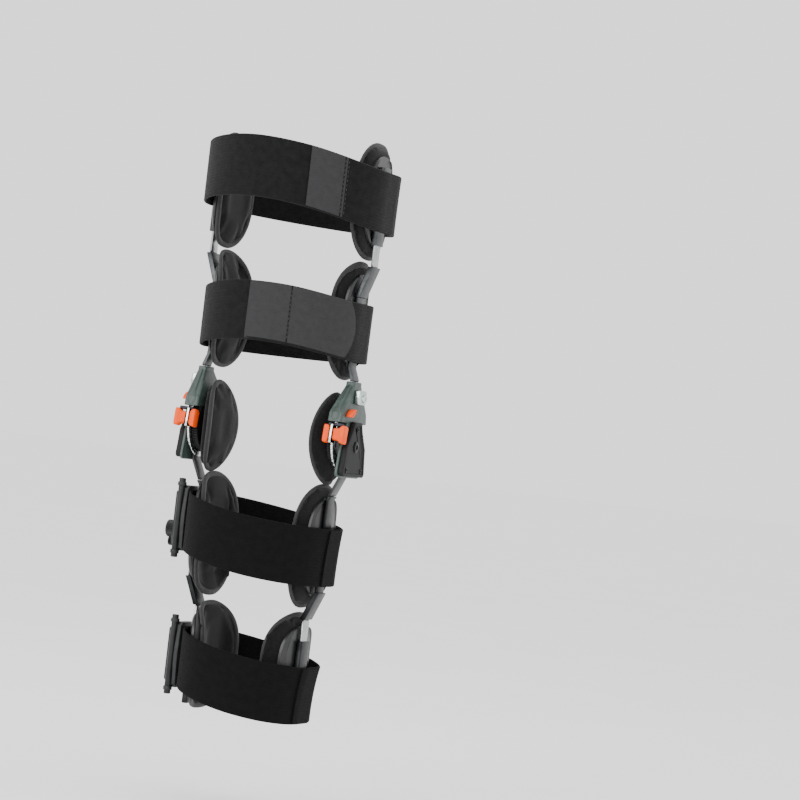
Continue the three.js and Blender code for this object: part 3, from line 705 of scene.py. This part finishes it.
for name, level in LEVELS.items():
    outer = shell_out(level) - SHELL_THICK - PAD_SEAT

    def slab_place(out, u, v, level=level, outer=outer):
        """A point of the slim pad, a little inside the pad's edge."""
        return pad_point(level, outer - SLIM + out, u, v, level["pad_half"] - 0.8, level["tall"] - 1.6)

    def shell_face(points, level=level, outer=outer):
        """x of the shell's face: the outline's x at each point's y, plus the lean."""
        s = points[:, 1] - SHIFT
        deep = np.where(s < 0, level["front"], level["back"]) + outer - FLAT
        ratio = np.clip((np.abs(s) - FLAT) / deep, 0, 0.98)
        far = np.clip(np.sign(level["pad"]) * (points[:, 2] - level["pad"]) / (level["tall"] / 2), 0, 1)
        return (level["half"] + outer) * np.sqrt(1 - ratio ** 2) + level["lean"] * far ** 4

    slab = rounded_slab(slab_place, PAD_THICK - 2 * SLIM, 0.03)
    points, faces = swollen(f"{name}_pad", slab, 5.0, shell_face)
    edge = pad_edge(level, outer - PAD_THICK / 2, level["pad_half"] - 2.2, level["tall"] - 4.4)
    padded_pair(f"{name}_pad", points, faces, edge, 7.0, level["body"])

# %% [markdown]
# ## Condyle pads
# An oval pad at each hinge keeps the metal off the knee's bony sides. It is made like the others.


# %% Condyle pads
low, high = node_box("condyle_pad_medial")
CONDYLE = {"out": high[0], "thick": 12.0, "half": high[1], "tall": high[2], "bend": 9.0}


def condyle_point(out, u, v):
    """An oval in y and z, its edges bent in towards the knee by the square of its y."""
    even = np.sin(v * np.pi / 2)
    y = u * (CONDYLE["half"] - 0.8) * np.maximum(0.05, np.sqrt(np.clip(1 - even ** 2, 0, 1)))
    bend = CONDYLE["bend"] * (y / CONDYLE["half"]) ** 2
    return np.stack([CONDYLE["out"] - SLIM + out - bend, y, even * (CONDYLE["tall"] - 0.8)], -1)


def condyle_face(points):
    """x of the plate's face over the pad: bent like the pad itself."""
    return CONDYLE["out"] - CONDYLE["bend"] * (points[:, 1] / CONDYLE["half"]) ** 2


slab = rounded_slab(condyle_point, CONDYLE["thick"] - 2 * SLIM, 0.03)
points, faces = swollen("condyle_pad", slab, 6.0, condyle_face)
angle = np.linspace(0, 2 * np.pi, 97)[:-1]
edge = np.stack([CONDYLE["out"] - CONDYLE["thick"] / 2 - CONDYLE["bend"] * np.cos(angle) ** 2,
                 (CONDYLE["half"] - 2) * np.cos(angle), (CONDYLE["tall"] - 2) * np.sin(angle)], -1)
padded_pair("condyle_pad", points, faces, edge, 8.0, "thigh_frame")

# %% [markdown]
# ## Shells
# A moulded shell spreads each upright's push over its pad. Its edge is a raised bead, which stiffens the
# thin plastic and catches the light as a bright arc.


# %% Shells
def shell_loops(level):
    """The pad's form, set in and thinner, with a bead: a bump on the outer face near its edge."""
    half, tall = level["pad_half"] - SHELL_INSET, level["tall"] - 2 * SHELL_INSET
    out = shell_out(level)

    def place(offset, u, v):
        """A point of the shell, lifted where it is near the edge, outside and clear of the bar."""
        near = np.exp(-((np.maximum(np.abs(u), np.abs(v)) - 0.9) / 0.07) ** 2)
        beside_bar = np.clip((np.abs(u) * half * pad_width(np.sin(v * np.pi / 2)) - 10) / 4, 0, 1)
        bead = 1.6 * near * beside_bar * (offset > -SHELL_THICK / 2)
        return pad_point(level, out + offset + bead, np.clip(u, -1, 1), v, half, tall)

    return rounded_slab(place, SHELL_THICK, 0.0, 60, 70)


for name, level in LEVELS.items():
    pair(f"{name}_shell", [shell_loops(level)], shell_plastic, level["body"], "shell")
print("pads and shells made")

# %% [markdown]
# ## Uprights
# Each upright is a flat bar that ends in a narrow inner bar, and a sleeve that slides on it. They are
# drawn as rounded rectangles carried along the limb through a few stations, each a height, a middle, a
# width and a thickness. Two stations close together make a shoulder.


# %% Uprights
def rounded_rectangle(half_x, half_y, radius, steps=4):
    """Loop of a rectangle with round corners, anticlockwise in x and y."""
    angle = np.concatenate([np.linspace(k, k + 90, steps) for k in (0, 90, 180, 270)]) * np.pi / 180
    corner_x = np.repeat([1, -1, -1, 1], steps) * (half_x - radius)
    corner_y = np.repeat([1, 1, -1, -1], steps) * (half_y - radius)
    return np.stack([corner_x + radius * np.cos(angle), corner_y + radius * np.sin(angle)], -1)


def level_loop(outline, z, x=0.0, y=0.0):
    """An outline in x and y at a height, with its middle moved."""
    return np.column_stack([x + outline[:, 0], y + outline[:, 1], np.full(len(outline), z)])


def bar_loops(stations, radius=0.9, ease=0.5):
    """Rounded rectangles at stations (z, x, width, thickness), eased in at both ends."""
    rows = np.stack([level_loop(rounded_rectangle(thick / 2, wide / 2, min(radius, thick / 2.2)), z, x)
                     for z, x, wide, thick in stations])
    drawn = rows[[0, -1]].copy()
    for k, row in enumerate((0, -1)):
        centre = rows[row].mean(0)
        step = np.sign(rows[row, 0, 2] - rows[(1, -2)[k], 0, 2])
        size = np.ptp(rows[row], axis=0)
        drawn[k] = centre + (rows[row] - centre) * (1 - 2 * ease / np.maximum(size, 1) * (size > 0))
        rows[row, :, 2] -= step * ease
    return np.concatenate([drawn[:1], rows, drawn[1:]])


# width and thickness of each bar
BAR, SLEEVE, INNER, ARM = (16.0, 4.0), (20.0, 6.0), (14.5, 2.6), (16.0, 3.4)
thigh_low, thigh_high = node_box("thigh_rail_medial")
sleeve_low, sleeve_high = node_box("thigh_sleeve_medial")
calf_low, calf_high = node_box("calf_rail_medial")
calf_sleeve_low, calf_sleeve_high = node_box("calf_sleeve_medial")
shank_low = node_box("shank_arm_medial")[0]

thigh_x = (sleeve_low[0] + sleeve_high[0]) / 2
calf_x = (calf_sleeve_low[0] + calf_sleeve_high[0]) / 2
near_x = LEVELS["thigh_lower"]["half"] - STRAP - SEAT - BAR[1] / 2
shin_x = LEVELS["calf_upper"]["half"] - STRAP - SEAT - BAR[1] / 2
yoke_x = node_box("thigh_arm_medial")[1][0] - 5.0


def strap_end(level, end):
    """Height just past a strap's edge and its buckle, at the uprights."""
    slope = level["half"] * math.tan(math.radians(abs(level["slant"])))
    return level["height"] + end * (level["width"] / 2 + slope + 6.0)


foot = strap_end(LEVELS["thigh_lower"], 1)
thigh_bar = bar_loops([
    (thigh_low[2], yoke_x, *BAR), (thigh_low[2] + 2, yoke_x, *BAR),
    (strap_end(LEVELS["thigh_lower"], -1), near_x, *BAR), (foot - 0.2, near_x, *BAR),
    (foot + 0.3, near_x + 1, *SLEEVE), (foot + 32.0, thigh_x, *SLEEVE),
])
thigh_inner = bar_loops([(foot + 31.0, thigh_x, *INNER), (thigh_high[2], thigh_x, *INNER)])
head = strap_end(LEVELS["calf_upper"], -1)
calf_bar = bar_loops([
    (calf_high[2], shank_low[0] + 2.2, *BAR), (strap_end(LEVELS["calf_upper"], 1), shin_x, *BAR),
    (head + 0.2, shin_x, *BAR), (head - 0.3, shin_x + 1, *SLEEVE), (head - 29.0, calf_x, *SLEEVE),
])
calf_inner = bar_loops([(head - 28.0, calf_x, *INNER), (calf_low[2], calf_x, *INNER)])


def sleeve_loops(x, low_z, high_z):
    """A tube with thick walls: the outside up, then the inside down, closed over both rims."""
    gap = 0.3
    outside = rounded_rectangle(SLEEVE[1] / 2, SLEEVE[0] / 2, 1.2)
    inside = rounded_rectangle(INNER[1] / 2 + gap, INNER[0] / 2 + gap, 0.3)
    eased = rounded_rectangle(SLEEVE[1] / 2 - 0.5, SLEEVE[0] / 2 - 0.5, 0.9)
    rows = [(eased, low_z), (outside, low_z + 0.5), (outside, high_z - 0.5), (eased, high_z),
            (inside, high_z), (inside, low_z)]
    return np.stack([level_loop(loop, z, x) for loop, z in rows])


def screw_loops(x, y, z, radius, proud):
    """A pan head facing +X: a low dome with a round socket in its middle."""
    profile = np.array([(1.0, -0.6), (1.0, 0.45), (0.92, 0.75), (0.7, 0.95), (0.48, 1.0), (0.42, 0.9),
                        (0.38, 0.25), (0.04, 0.2)])
    angle = np.linspace(0, 2 * np.pi, 25)[:-1]
    ring_y = y + radius * profile[:, :1] * np.cos(angle)
    ring_z = z + radius * profile[:, :1] * np.sin(angle)
    return np.stack([x + proud * profile[:, 1:] + 0 * ring_y, ring_y, ring_z], -1)


pair("thigh_rail", [thigh_bar], aluminium, "thigh_frame", "aluminium", sharp=50)
pair("calf_rail", [calf_bar], dark_aluminium, "shank_frame", "aluminium", sharp=50)
pair("thigh_inner_bar", [thigh_inner], bright_aluminium, "thigh_frame", "aluminium", False, sharp=50)
pair("calf_inner_bar", [calf_inner], bright_aluminium, "shank_frame", "aluminium", False, sharp=50)
for name, x, low, high, finish, body in (
    ("thigh_sleeve", thigh_x, sleeve_low[2], sleeve_high[2], aluminium, "thigh_cuff"),
    ("calf_sleeve", calf_x, calf_sleeve_low[2], calf_sleeve_high[2], dark_aluminium, "shank_cuff"),
):
    pair(name, [sleeve_loops(x, low, high)], finish, body, "aluminium", ring=True, sharp=50)
print("uprights made")

# %% [markdown]
# ## Hinges
# A polished disc turns between a grey-green arm above and a coated arm below. Plates are drawn from one
# outline in y and z: it is moved in by small steps at successive depths, which rounds its rim and can
# sink its face.


# %% Plate tools
def normals_of(points):
    """Outward unit normals of an anticlockwise outline: its tangent turned a quarter clockwise."""
    ahead = np.roll(points, -1, 0) - np.roll(points, 1, 0)
    normal = np.stack([ahead[:, 1], -ahead[:, 0]], 1)
    return normal / np.maximum(np.linalg.norm(normal, axis=1, keepdims=True), 1e-9)


def upright_loop(outline, x):
    """An outline in y and z at a place across the brace."""
    return np.column_stack([np.full(len(outline), x), outline])


def plate_loops(points, steps):
    """Loops of a plate: for each step (inset, x) the outline moved in by the inset, at that x."""
    normal = normals_of(points)
    return np.stack([upright_loop(points - normal * inset, x) for inset, x in steps])


def rim(x0, x1, ease=0.6):
    """Steps (inset, place) that round both edges of a plate or a block."""
    return [(ease, x0), (0.3 * ease, x0 + 0.3 * ease), (0, x0 + ease),
            (0, x1 - ease), (0.3 * ease, x1 - 0.3 * ease), (ease, x1)]


def disc_points(radius, count=96):
    """A circle in y and z."""
    angle = np.linspace(0, 2 * np.pi, count, endpoint=False)
    return radius * np.stack([np.cos(angle), np.sin(angle)], -1)


def curve(a, b, c, steps=8):
    """A quadratic curve from a by way of b to c, without its last point."""
    t = np.linspace(0, 1, steps, endpoint=False)[:, None]
    return (1 - t) ** 2 * np.array(a) + 2 * t * (1 - t) * np.array(b) + t ** 2 * np.array(c)


# half width of the bell's foot, its drop under the axis and half width of its head
BELL = (30.0, 38.0, 12.0)


def bell_points(inset, high):
    """The bell outline in y and z: a flat foot with round corners, leaning sides and a round head."""
    foot_y, drop, head_y = (size - inset for size in BELL)
    corner, crown = 5.0, 3.0
    waist, neck = (0.86 * foot_y, -0.2 * drop), (1.15 * head_y, 0.55 * high)
    half = np.concatenate([
        curve((foot_y - corner, -drop), (foot_y, -drop), (foot_y, corner - drop)),
        curve((foot_y, corner - drop), (0.93 * foot_y, -0.6 * drop), waist, 10),
        curve(waist, neck, (head_y, high - crown), 20),
        curve((head_y, high - crown), (head_y, high), (head_y - crown, high)),
        [(head_y - crown, high)],
    ])
    return np.concatenate([half, half[::-1] * [-1, 1]])


hinge = {name: node_box(f"{name}_medial") for name in (
    "hinge_disc", "inner_cover", "outer_cover", "shank_arm", "hinge_lock", "flexion_stop",
    "extension_stop", "hinge_pivot")}
# the bell plate's thickness and top, the disc's radius, and the yoke's foot, top and thin head
PLATE, PLATE_TOP = 3.0, 46.0
DISC = 34.0
YOKE_FOOT, YOKE_TOP, YOKE_HEAD = 17.5, 60.0, 10.0
TAPER = (YOKE_FOOT + 10, YOKE_TOP - 4)
plate_out = hinge["outer_cover"][0][0] - SEAT
plate_in = plate_out - PLATE

# %% [markdown]
# The upper arm is one moulding: the bell plate outside, and a yoke that closes over the disc's upper
# part, with a slot for it and a ridge down its front. The outer cover lies on the plate, with a sunk
# face.


# %% Arms, discs and covers
def yoke_front(z):
    """Half the yoke's width at a height: nearly straight above its foot, then narrowing to its head."""
    return np.interp(z, [YOKE_FOOT, *TAPER], [DISC, DISC - 2, YOKE_HEAD])


def yoke_inner(z, low_x, high_x):
    """x of the yoke's inner face at a height: it leans out to leave a thin head."""
    return np.interp(z, TAPER, [low_x, high_x - YOKE_HEAD])


def yoke_loops(low_x, high_x):
    """Rounded rectangles up the yoke, between its inner and its outer face, eased in at both ends."""
    z = np.concatenate([[YOKE_FOOT, YOKE_FOOT + 0.4], np.linspace(YOKE_FOOT + 1.2, YOKE_TOP - 1, 26),
                        [YOKE_TOP - 0.3, YOKE_TOP]])
    ease = np.concatenate([[0.8, 0.2], np.zeros(26), [0.3, 0.9]])
    inner = yoke_inner(z, low_x, high_x)
    return np.stack([
        level_loop(rounded_rectangle((high_x - x) / 2 - e, half - e, 2.2, 6), height, (high_x + x) / 2)
        for height, half, x, e in zip(z, yoke_front(z), inner, ease)])


def ridge_loops(low_x, high_x):
    """A raised shield on the yoke's front: wide and round at its foot, then a narrow spine above."""
    heights = np.linspace(YOKE_FOOT + 2, YOKE_TOP - 3, 30)
    front = yoke_front(heights)
    middle_x = (yoke_inner(heights, low_x, high_x) + high_x) / 2
    wide = np.interp(heights, YOKE_FOOT + np.array([2, 5, 10, 16, 39]), [2.5, 5.0, 4.6, 2.2, 1.7])
    proud = 1.3 * np.sin(np.pi * np.linspace(0.02, 0.98, 30)) ** 0.35
    t = np.linspace(0, np.pi, 11)
    rows = [np.column_stack([m + w * np.cos(t), -f + 0.5 - (p + 0.5) * np.sin(t), np.full(11, z)])
            for z, f, m, w, p in zip(heights, front, middle_x, wide, proud)]
    return np.stack(rows)


def slotted(name, whole, tool):
    """The mesh of a stack of loops with another one cut out of it."""
    made = bpy.data.objects.new(name, mesh_of(name, [whole], sharp=35))
    cutter = bpy.data.objects.new("cutter", mesh_of("cutter", [tool]))
    for part in (made, cutter):
        bpy.context.scene.collection.objects.link(part)
    slot = made.modifiers.new("slot", "BOOLEAN")
    slot.operation, slot.solver, slot.object = "DIFFERENCE", "EXACT", cutter
    mesh = bpy.data.meshes.new_from_object(made.evaluated_get(bpy.context.evaluated_depsgraph_get()))
    for part in (made, cutter):
        bpy.data.objects.remove(part)
    mesh.set_sharp_from_angle(angle=math.radians(35))
    return mesh


cover_in, cover_out = hinge["inner_cover"][0][0], hinge["inner_cover"][1][0]
bell = plate_loops(bell_points(0, PLATE_TOP), rim(plate_in, plate_out - 0.2))
pair("thigh_arm", [bell], housing_plastic, "thigh_frame", "housing", sharp=35)
for where, flip in SIDES.items():
    room = plate_loops(disc_points(DISC + 1.3, 120), [(0, cover_out), (0, plate_in)])
    mesh = slotted(f"yoke_{where}", yoke_loops(cover_in, plate_out) * flip, room * flip)
    piece(f"yoke_{where}", mesh, housing_plastic, "thigh_frame")
pair("yoke_ridge", [ridge_loops(cover_in, plate_out)], housing_plastic, "thigh_frame", "housing", False, "",
     sharp=60)

disc_in, disc_out = hinge["hinge_disc"][0][0], hinge["hinge_disc"][1][0]
NOTCHES, NOTCH = 36, 0.5
turns = np.linspace(0, 2 * np.pi, 8 * NOTCHES, endpoint=False)
notched = disc_points(1.0, 8 * NOTCHES) * (DISC - NOTCH * (np.cos(NOTCHES * turns) > 0.75)[:, None])
disc = plate_loops(notched, rim(disc_in, disc_out, 0.3))
pair("hinge_disc", [disc], steel, "thigh_frame", "steel")
pivot_low, pivot_high = hinge["hinge_pivot"]
pivot = plate_loops(disc_points(pivot_high[1], 48), rim(pivot_low[0], pivot_high[0], 0.5))
pair("hinge_pivot", [pivot], steel, "thigh_frame", "steel")


def ribbed_disc(radius, x0, x1, ribs, depth, top_z):
    """A disc whose rim is fluted, cut off flat above a height: its outline's z is held under it."""
    angle = np.linspace(0, 2 * np.pi, ribs * 6, endpoint=False)
    r = radius - depth * (0.5 + 0.5 * np.cos(ribs * angle)) ** 2
    points = np.stack([r * np.cos(angle), np.minimum(r * np.sin(angle), top_z)], -1)
    return plate_loops(points, rim(x0, x1, 0.5))


inner = ribbed_disc(hinge["inner_cover"][1][1], cover_in, cover_out, 64, 1.1, YOKE_FOOT - SEAT)
pair("inner_cover", [inner], cover_plastic, "thigh_frame", "cover")

face_in, face_out = hinge["outer_cover"][0][0], hinge["outer_cover"][1][0]
sunk = bell_points(1.5, hinge["outer_cover"][1][2])
SUNK = 0.9
cover_steps = rim(face_in, face_out, 1.0)
cover_steps += [(3.2, face_out), (3.7, face_out - SUNK), (4.4, face_out - SUNK)]
pair("outer_cover", [plate_loops(sunk, cover_steps)], cover_plastic, "thigh_frame", "cover")

arm_in, arm_out = hinge["shank_arm"][1][0] - ARM[1], hinge["shank_arm"][1][0]
hub = plate_loops(disc_points(26.0), rim(arm_in, arm_out, 0.5))
arm_x = (arm_in + arm_out) / 2
lower = bar_loops([(-18, arm_x, *ARM), (-36, arm_x, *ARM), (shank_low[2], shank_low[0] + ARM[1] / 2, *ARM)])
pair("shank_arm", [hub, lower], coat, "shank_frame", "bar", sharp=50)

# %% [markdown]
# The stops set how far the knee may move: an orange spool that straddles the disc's front rim stops
# straightening, and an orange grip on the plate stops bending. The lock above has a plated bolt.


# %% Stops and locks
def spool_loops(low, high):
    """Two flared ends and a waist along x: superellipse loops whose half height and depth change."""
    x = np.array([0, 0.02, 0.14, 0.2, 0.27, 0.36, 0.64, 0.73, 0.8, 0.86, 0.98, 1])
    half = np.array([8.4, 9, 9, 8.4, 6.8, 6, 6, 6.8, 8.4, 9, 9, 8.4])
    depth = np.array([9.4, 10, 10, 9.8, 9.2, 9, 9, 9.2, 9.8, 10, 10, 9.4])
    x = low[0] + x * (high[0] - low[0])
    return np.stack([upright_loop(rounded_rectangle(d / 2, h, 2.0, 5) + [high[1] - d / 2, 0], at)
                     for at, h, d in zip(x, half, depth)])


STOP_BACK, STOP_DEPTH, STOP_ANGLE = -30.0, 10.0, math.radians(8)
stop_x0, stop_x1 = hinge["extension_stop"][0][0], hinge["extension_stop"][1][0]
cosine, sine = math.cos(STOP_ANGLE), math.sin(STOP_ANGLE)
up_the_rim = np.array([[1, 0, 0], [0, cosine, -sine], [0, sine, cosine]])
spool = spool_loops((stop_x0, STOP_BACK - STOP_DEPTH), (stop_x1, STOP_BACK))
near, far, skin = spool.copy(), spool.copy(), spool.copy()
near[..., 0] = np.minimum(near[..., 0], disc_in - SEAT)
far[..., 0] = np.maximum(far[..., 0], disc_out + SEAT)
skin[..., 0] = np.clip(skin[..., 0], disc_in - 1, disc_out + 1)
skin[..., 1] = np.minimum(skin[..., 1], -DISC - SEAT)


def block_loops(x0, x1, y0, y1, z0, z1, radius=0.8):
    """A block with round edges, its loops stacked in z."""
    return np.stack([
        level_loop(rounded_rectangle((x1 - x0) / 2 - e, (y1 - y0) / 2 - e, radius), z, (x0 + x1) / 2,
                   (y0 + y1) / 2)
        for e, z in rim(z0, z1, radius)])


# The spool carries two dark rubber caps, and a steel clip over its waist that looks like the disc's rim.
caps = [block_loops(x0, x1, STOP_BACK - STOP_DEPTH + 1.5, STOP_BACK - 1.0, 8.4, 11.2, 0.6)
        for x0, x1 in ((stop_x0 + 4, disc_in - 1), (disc_out + 1, stop_x1 - 4))]
clip = block_loops(disc_in - 0.3, disc_out + 0.3, STOP_BACK - STOP_DEPTH + 0.2, -DISC - 1, -9.4, 9.6, 0.5)
for name, parts, finish in (("extension_stop", [near, far, skin], stop_plastic),
                            ("stop_caps", caps, cap_plastic), ("stop_clip", [clip], steel)):
    pair(name, [part @ up_the_rim for part in parts], finish, "extension_stop_{}", "stop",
         name == "extension_stop")

GRIP, GRIP_RADIUS, GRIP_ANGLE = (7.0, 2.6), 33.0, math.radians(123)
t = np.linspace(0, 2 * np.pi, 48, endpoint=False)
lens = np.stack([GRIP[0] * np.cos(t), GRIP[1] * np.sin(t) * np.abs(np.sin(t)) ** 0.3], -1)
turn_by = GRIP_ANGLE + math.pi / 2
spin = np.array([[math.cos(turn_by), -math.sin(turn_by)], [math.sin(turn_by), math.cos(turn_by)]])
lens = lens @ spin.T + GRIP_RADIUS * np.array([math.cos(GRIP_ANGLE), math.sin(GRIP_ANGLE)])
grip_in, grip_out = hinge["flexion_stop"][0][0], hinge["flexion_stop"][1][0]
grip = plate_loops(lens, rim(grip_in, grip_out, 0.7))
pair("flexion_stop", [grip], stop_plastic, "flexion_stop_{}", "stop")

lock_low, lock_high = hinge["hinge_lock"]
body_out = lock_high[0] - 3.0
lock_parts = [block_loops(lock_low[0], body_out, lock_low[1], lock_high[1], lock_low[2], lock_high[2], 1.4)]
lock_parts += [block_loops(body_out - 0.5, body_out + 0.7, lock_low[1] + 1.5, lock_high[1] - 1.5,
                           groove - 0.7, groove, 0.3) for groove in lock_high[2] - np.array([1.9, 3.5])]
lock_middle = (lock_low[2] + lock_high[2]) / 2
lock_parts.append(screw_loops(body_out, 0.0, lock_middle - 1.0, 4.0, 3.0))
# the lock's grey-green tint is a painted reflection of the housing
pair("hinge_lock", lock_parts, plated, "thigh_frame", "lock")

# y, z, radius and height of each cover screw
SCREWS = ((-19, -30, 2.6, 1.0), (19, -30, 2.6, 1.0), (0, 12, 2.6, 1.0), (0, -6, 6.0, 1.4))
screws = [screw_loops(face_out - SUNK, *screw) for screw in SCREWS]
pair("cover_screws", screws, blacked, "thigh_frame", "steel", False, "")
print("hinges made")

# %% [markdown]
# ## Buckles
# On the outer side each strap ends in a buckle: a dark frame on the strap with a pin along its front
# edge, and a ribbed lever closed over it. The upper calf one carries two knurled knobs.


# %% Buckles
def cylinder_z(x, y, z0, z1, radius, ease=0.5, flutes=0, depth=0.0, count=32):
    """An upright cylinder with eased ends, its side fluted by a cosine."""
    count = max(count, flutes * 6)
    angle = np.linspace(0, 2 * np.pi, count, endpoint=False)
    r = radius - depth * (0.5 + 0.5 * np.cos(flutes * angle)) if flutes else radius + 0 * angle
    circle = np.stack([np.cos(angle), np.sin(angle)], -1)
    return np.stack([level_loop((r - e)[:, None] * circle, z, x, y) for e, z in rim(z0, z1, ease)])


def on_strap(level, parts):
    """Loops drawn on a strap that faces -X at the origin, turned to the strap's slope at the buckle's
    place and moved there."""
    x, y = beside(level, SEAT, np.array(float(level["buckle"])))
    deep = (level["front"] if level["buckle"] < 0 else level["back"]) + SEAT - FLAT
    by = -math.copysign(max(0, abs(level["buckle"]) - FLAT) / deep, level["buckle"])
    turned = np.array([[math.cos(by), math.sin(by), 0], [-math.sin(by), math.cos(by), 0], [0, 0, 1]])
    return [loops @ turned + np.array([-x, y, level["height"] + lift(level, -x, y)]) for loops in parts]


# thickness of frame and lever, half the frame's width, and where its pin lies
BASE, LEVER, BUCKLE_HALF, PIN_Y = 8.0, 8.0, 13.0, -15.1
for name, level in LEVELS.items():
    half, body = level["width"] / 2 + 4, level["body"]
    frame_parts = [block_loops(-BASE, 0, -BUCKLE_HALF, BUCKLE_HALF, -half, half, 1.4)]
    lip = rounded_rectangle(3.2, 1.6, 1.2)
    frame_parts.append(np.stack([
        level_loop(lip, (2 * row - 1) * (half - 3), -3.4,
                   -BUCKLE_HALF - 0.4 - 1.6 * math.sin(math.pi * row) ** 1.5)
        for row in np.linspace(0, 1, 24)]))
    for end in (-1, 1):
        frame_parts.append(cylinder_z(-BASE, PIN_Y, *sorted((end * (half - 1), end * (half + 3))), 4.6))
    mesh = mesh_of(f"{name}_buckle_frame", on_strap(level, frame_parts))
    piece(f"{name}_buckle_frame_made", mesh, frame_plastic, body, [f"{name}_buckle_frame"])
    pin = cylinder_z(-BASE, PIN_Y, -half - 7, half + 7, 3.5, 0.8)
    piece(f"{name}_buckle_pin", mesh_of(f"{name}_buckle_pin", on_strap(level, [pin])), buckle_plastic, body)
    low_x, low_y, high_y, reach = -BASE - SEAT, -11.0, BUCKLE_HALF - 1, half - 6
    lever_parts = [block_loops(low_x - LEVER, low_x, low_y, high_y, -reach, reach, 2.2)]
    lever_parts += [block_loops(low_x - LEVER - 1.2, low_x - LEVER + 1, y - 1.1, y + 1.1, 6 - reach,
                                reach - 6, 0.9) for y in np.linspace(low_y + 5, high_y - 5, 4)]
    if name == "calf_upper":
        for radius, proud, down in ((9.0, 9.0, 0.45), (5.0, 6.5, 0.9)):
            knob = cylinder_z(0, 0, -proud, 0.5, radius, 1.0, 24, 1.0)
            lever_parts.append(np.stack([low_x - LEVER + knob[..., 2], knob[..., 1],
                                         knob[..., 0] - down * reach], -1))
    mesh = mesh_of(f"{name}_buckle_lever", on_strap(level, lever_parts))
    piece(f"{name}_buckle_lever_made", mesh, buckle_plastic, body, [f"{name}_buckle_lever"])
print("buckles made")

# %% [markdown]
# ## Floor and light
# A pale floor, a large soft light in front on the left, a weaker one on the right and one from above,
# with a bright plain world, as in a light tent. Black cloth needs that much light to show its weave.


# %% Floor and light
floor_mesh = bpy.data.meshes.new("floor")
reach, level_z = 30.0, cad_box[0][2] - 0.09
floor_mesh.from_pydata([(-reach, -reach, level_z), (reach, -reach, level_z), (reach, reach, level_z),
                        (-reach, reach, level_z)], [], [(0, 1, 2, 3)])
pale, tree, shader = blank("pale_floor", 0.9)
place = add_node(tree, "ShaderNodeTexCoord").outputs["Object"]
mottled(tree, shader, place, "#fafafa", "#fdfdfd", 300.0)
floor_mesh.materials.append(pale)
floor = bpy.data.objects.new("floor", floor_mesh)
bpy.context.scene.collection.objects.link(floor)

world = bpy.data.worlds.new("light_tent")
world.use_nodes = True
world.node_tree.nodes["Background"].inputs["Color"].default_value = linear("#ffffff")
world.node_tree.nodes["Background"].inputs["Strength"].default_value = 1.6
bpy.context.scene.world = world

# name, place in metres, size in metres, power in watts
LIGHTS = (
    ("key", (-1.0, -2.4, 1.0), 1.8, 42),
    ("fill", (1.6, -2.2, 0.2), 1.6, 8),
    ("top", (0.2, 0.3, 2.2), 1.8, 14),
)
for name, spot, size, power in LIGHTS:
    light = bpy.data.lights.new(name, "AREA")
    light.size, light.energy = size, power
    lamp = bpy.data.objects.new(name, light)
    lamp.location = spot
    lamp.rotation_euler = (-Vector(spot)).to_track_quat("-Z", "Y").to_euler()
    bpy.context.scene.collection.objects.link(lamp)
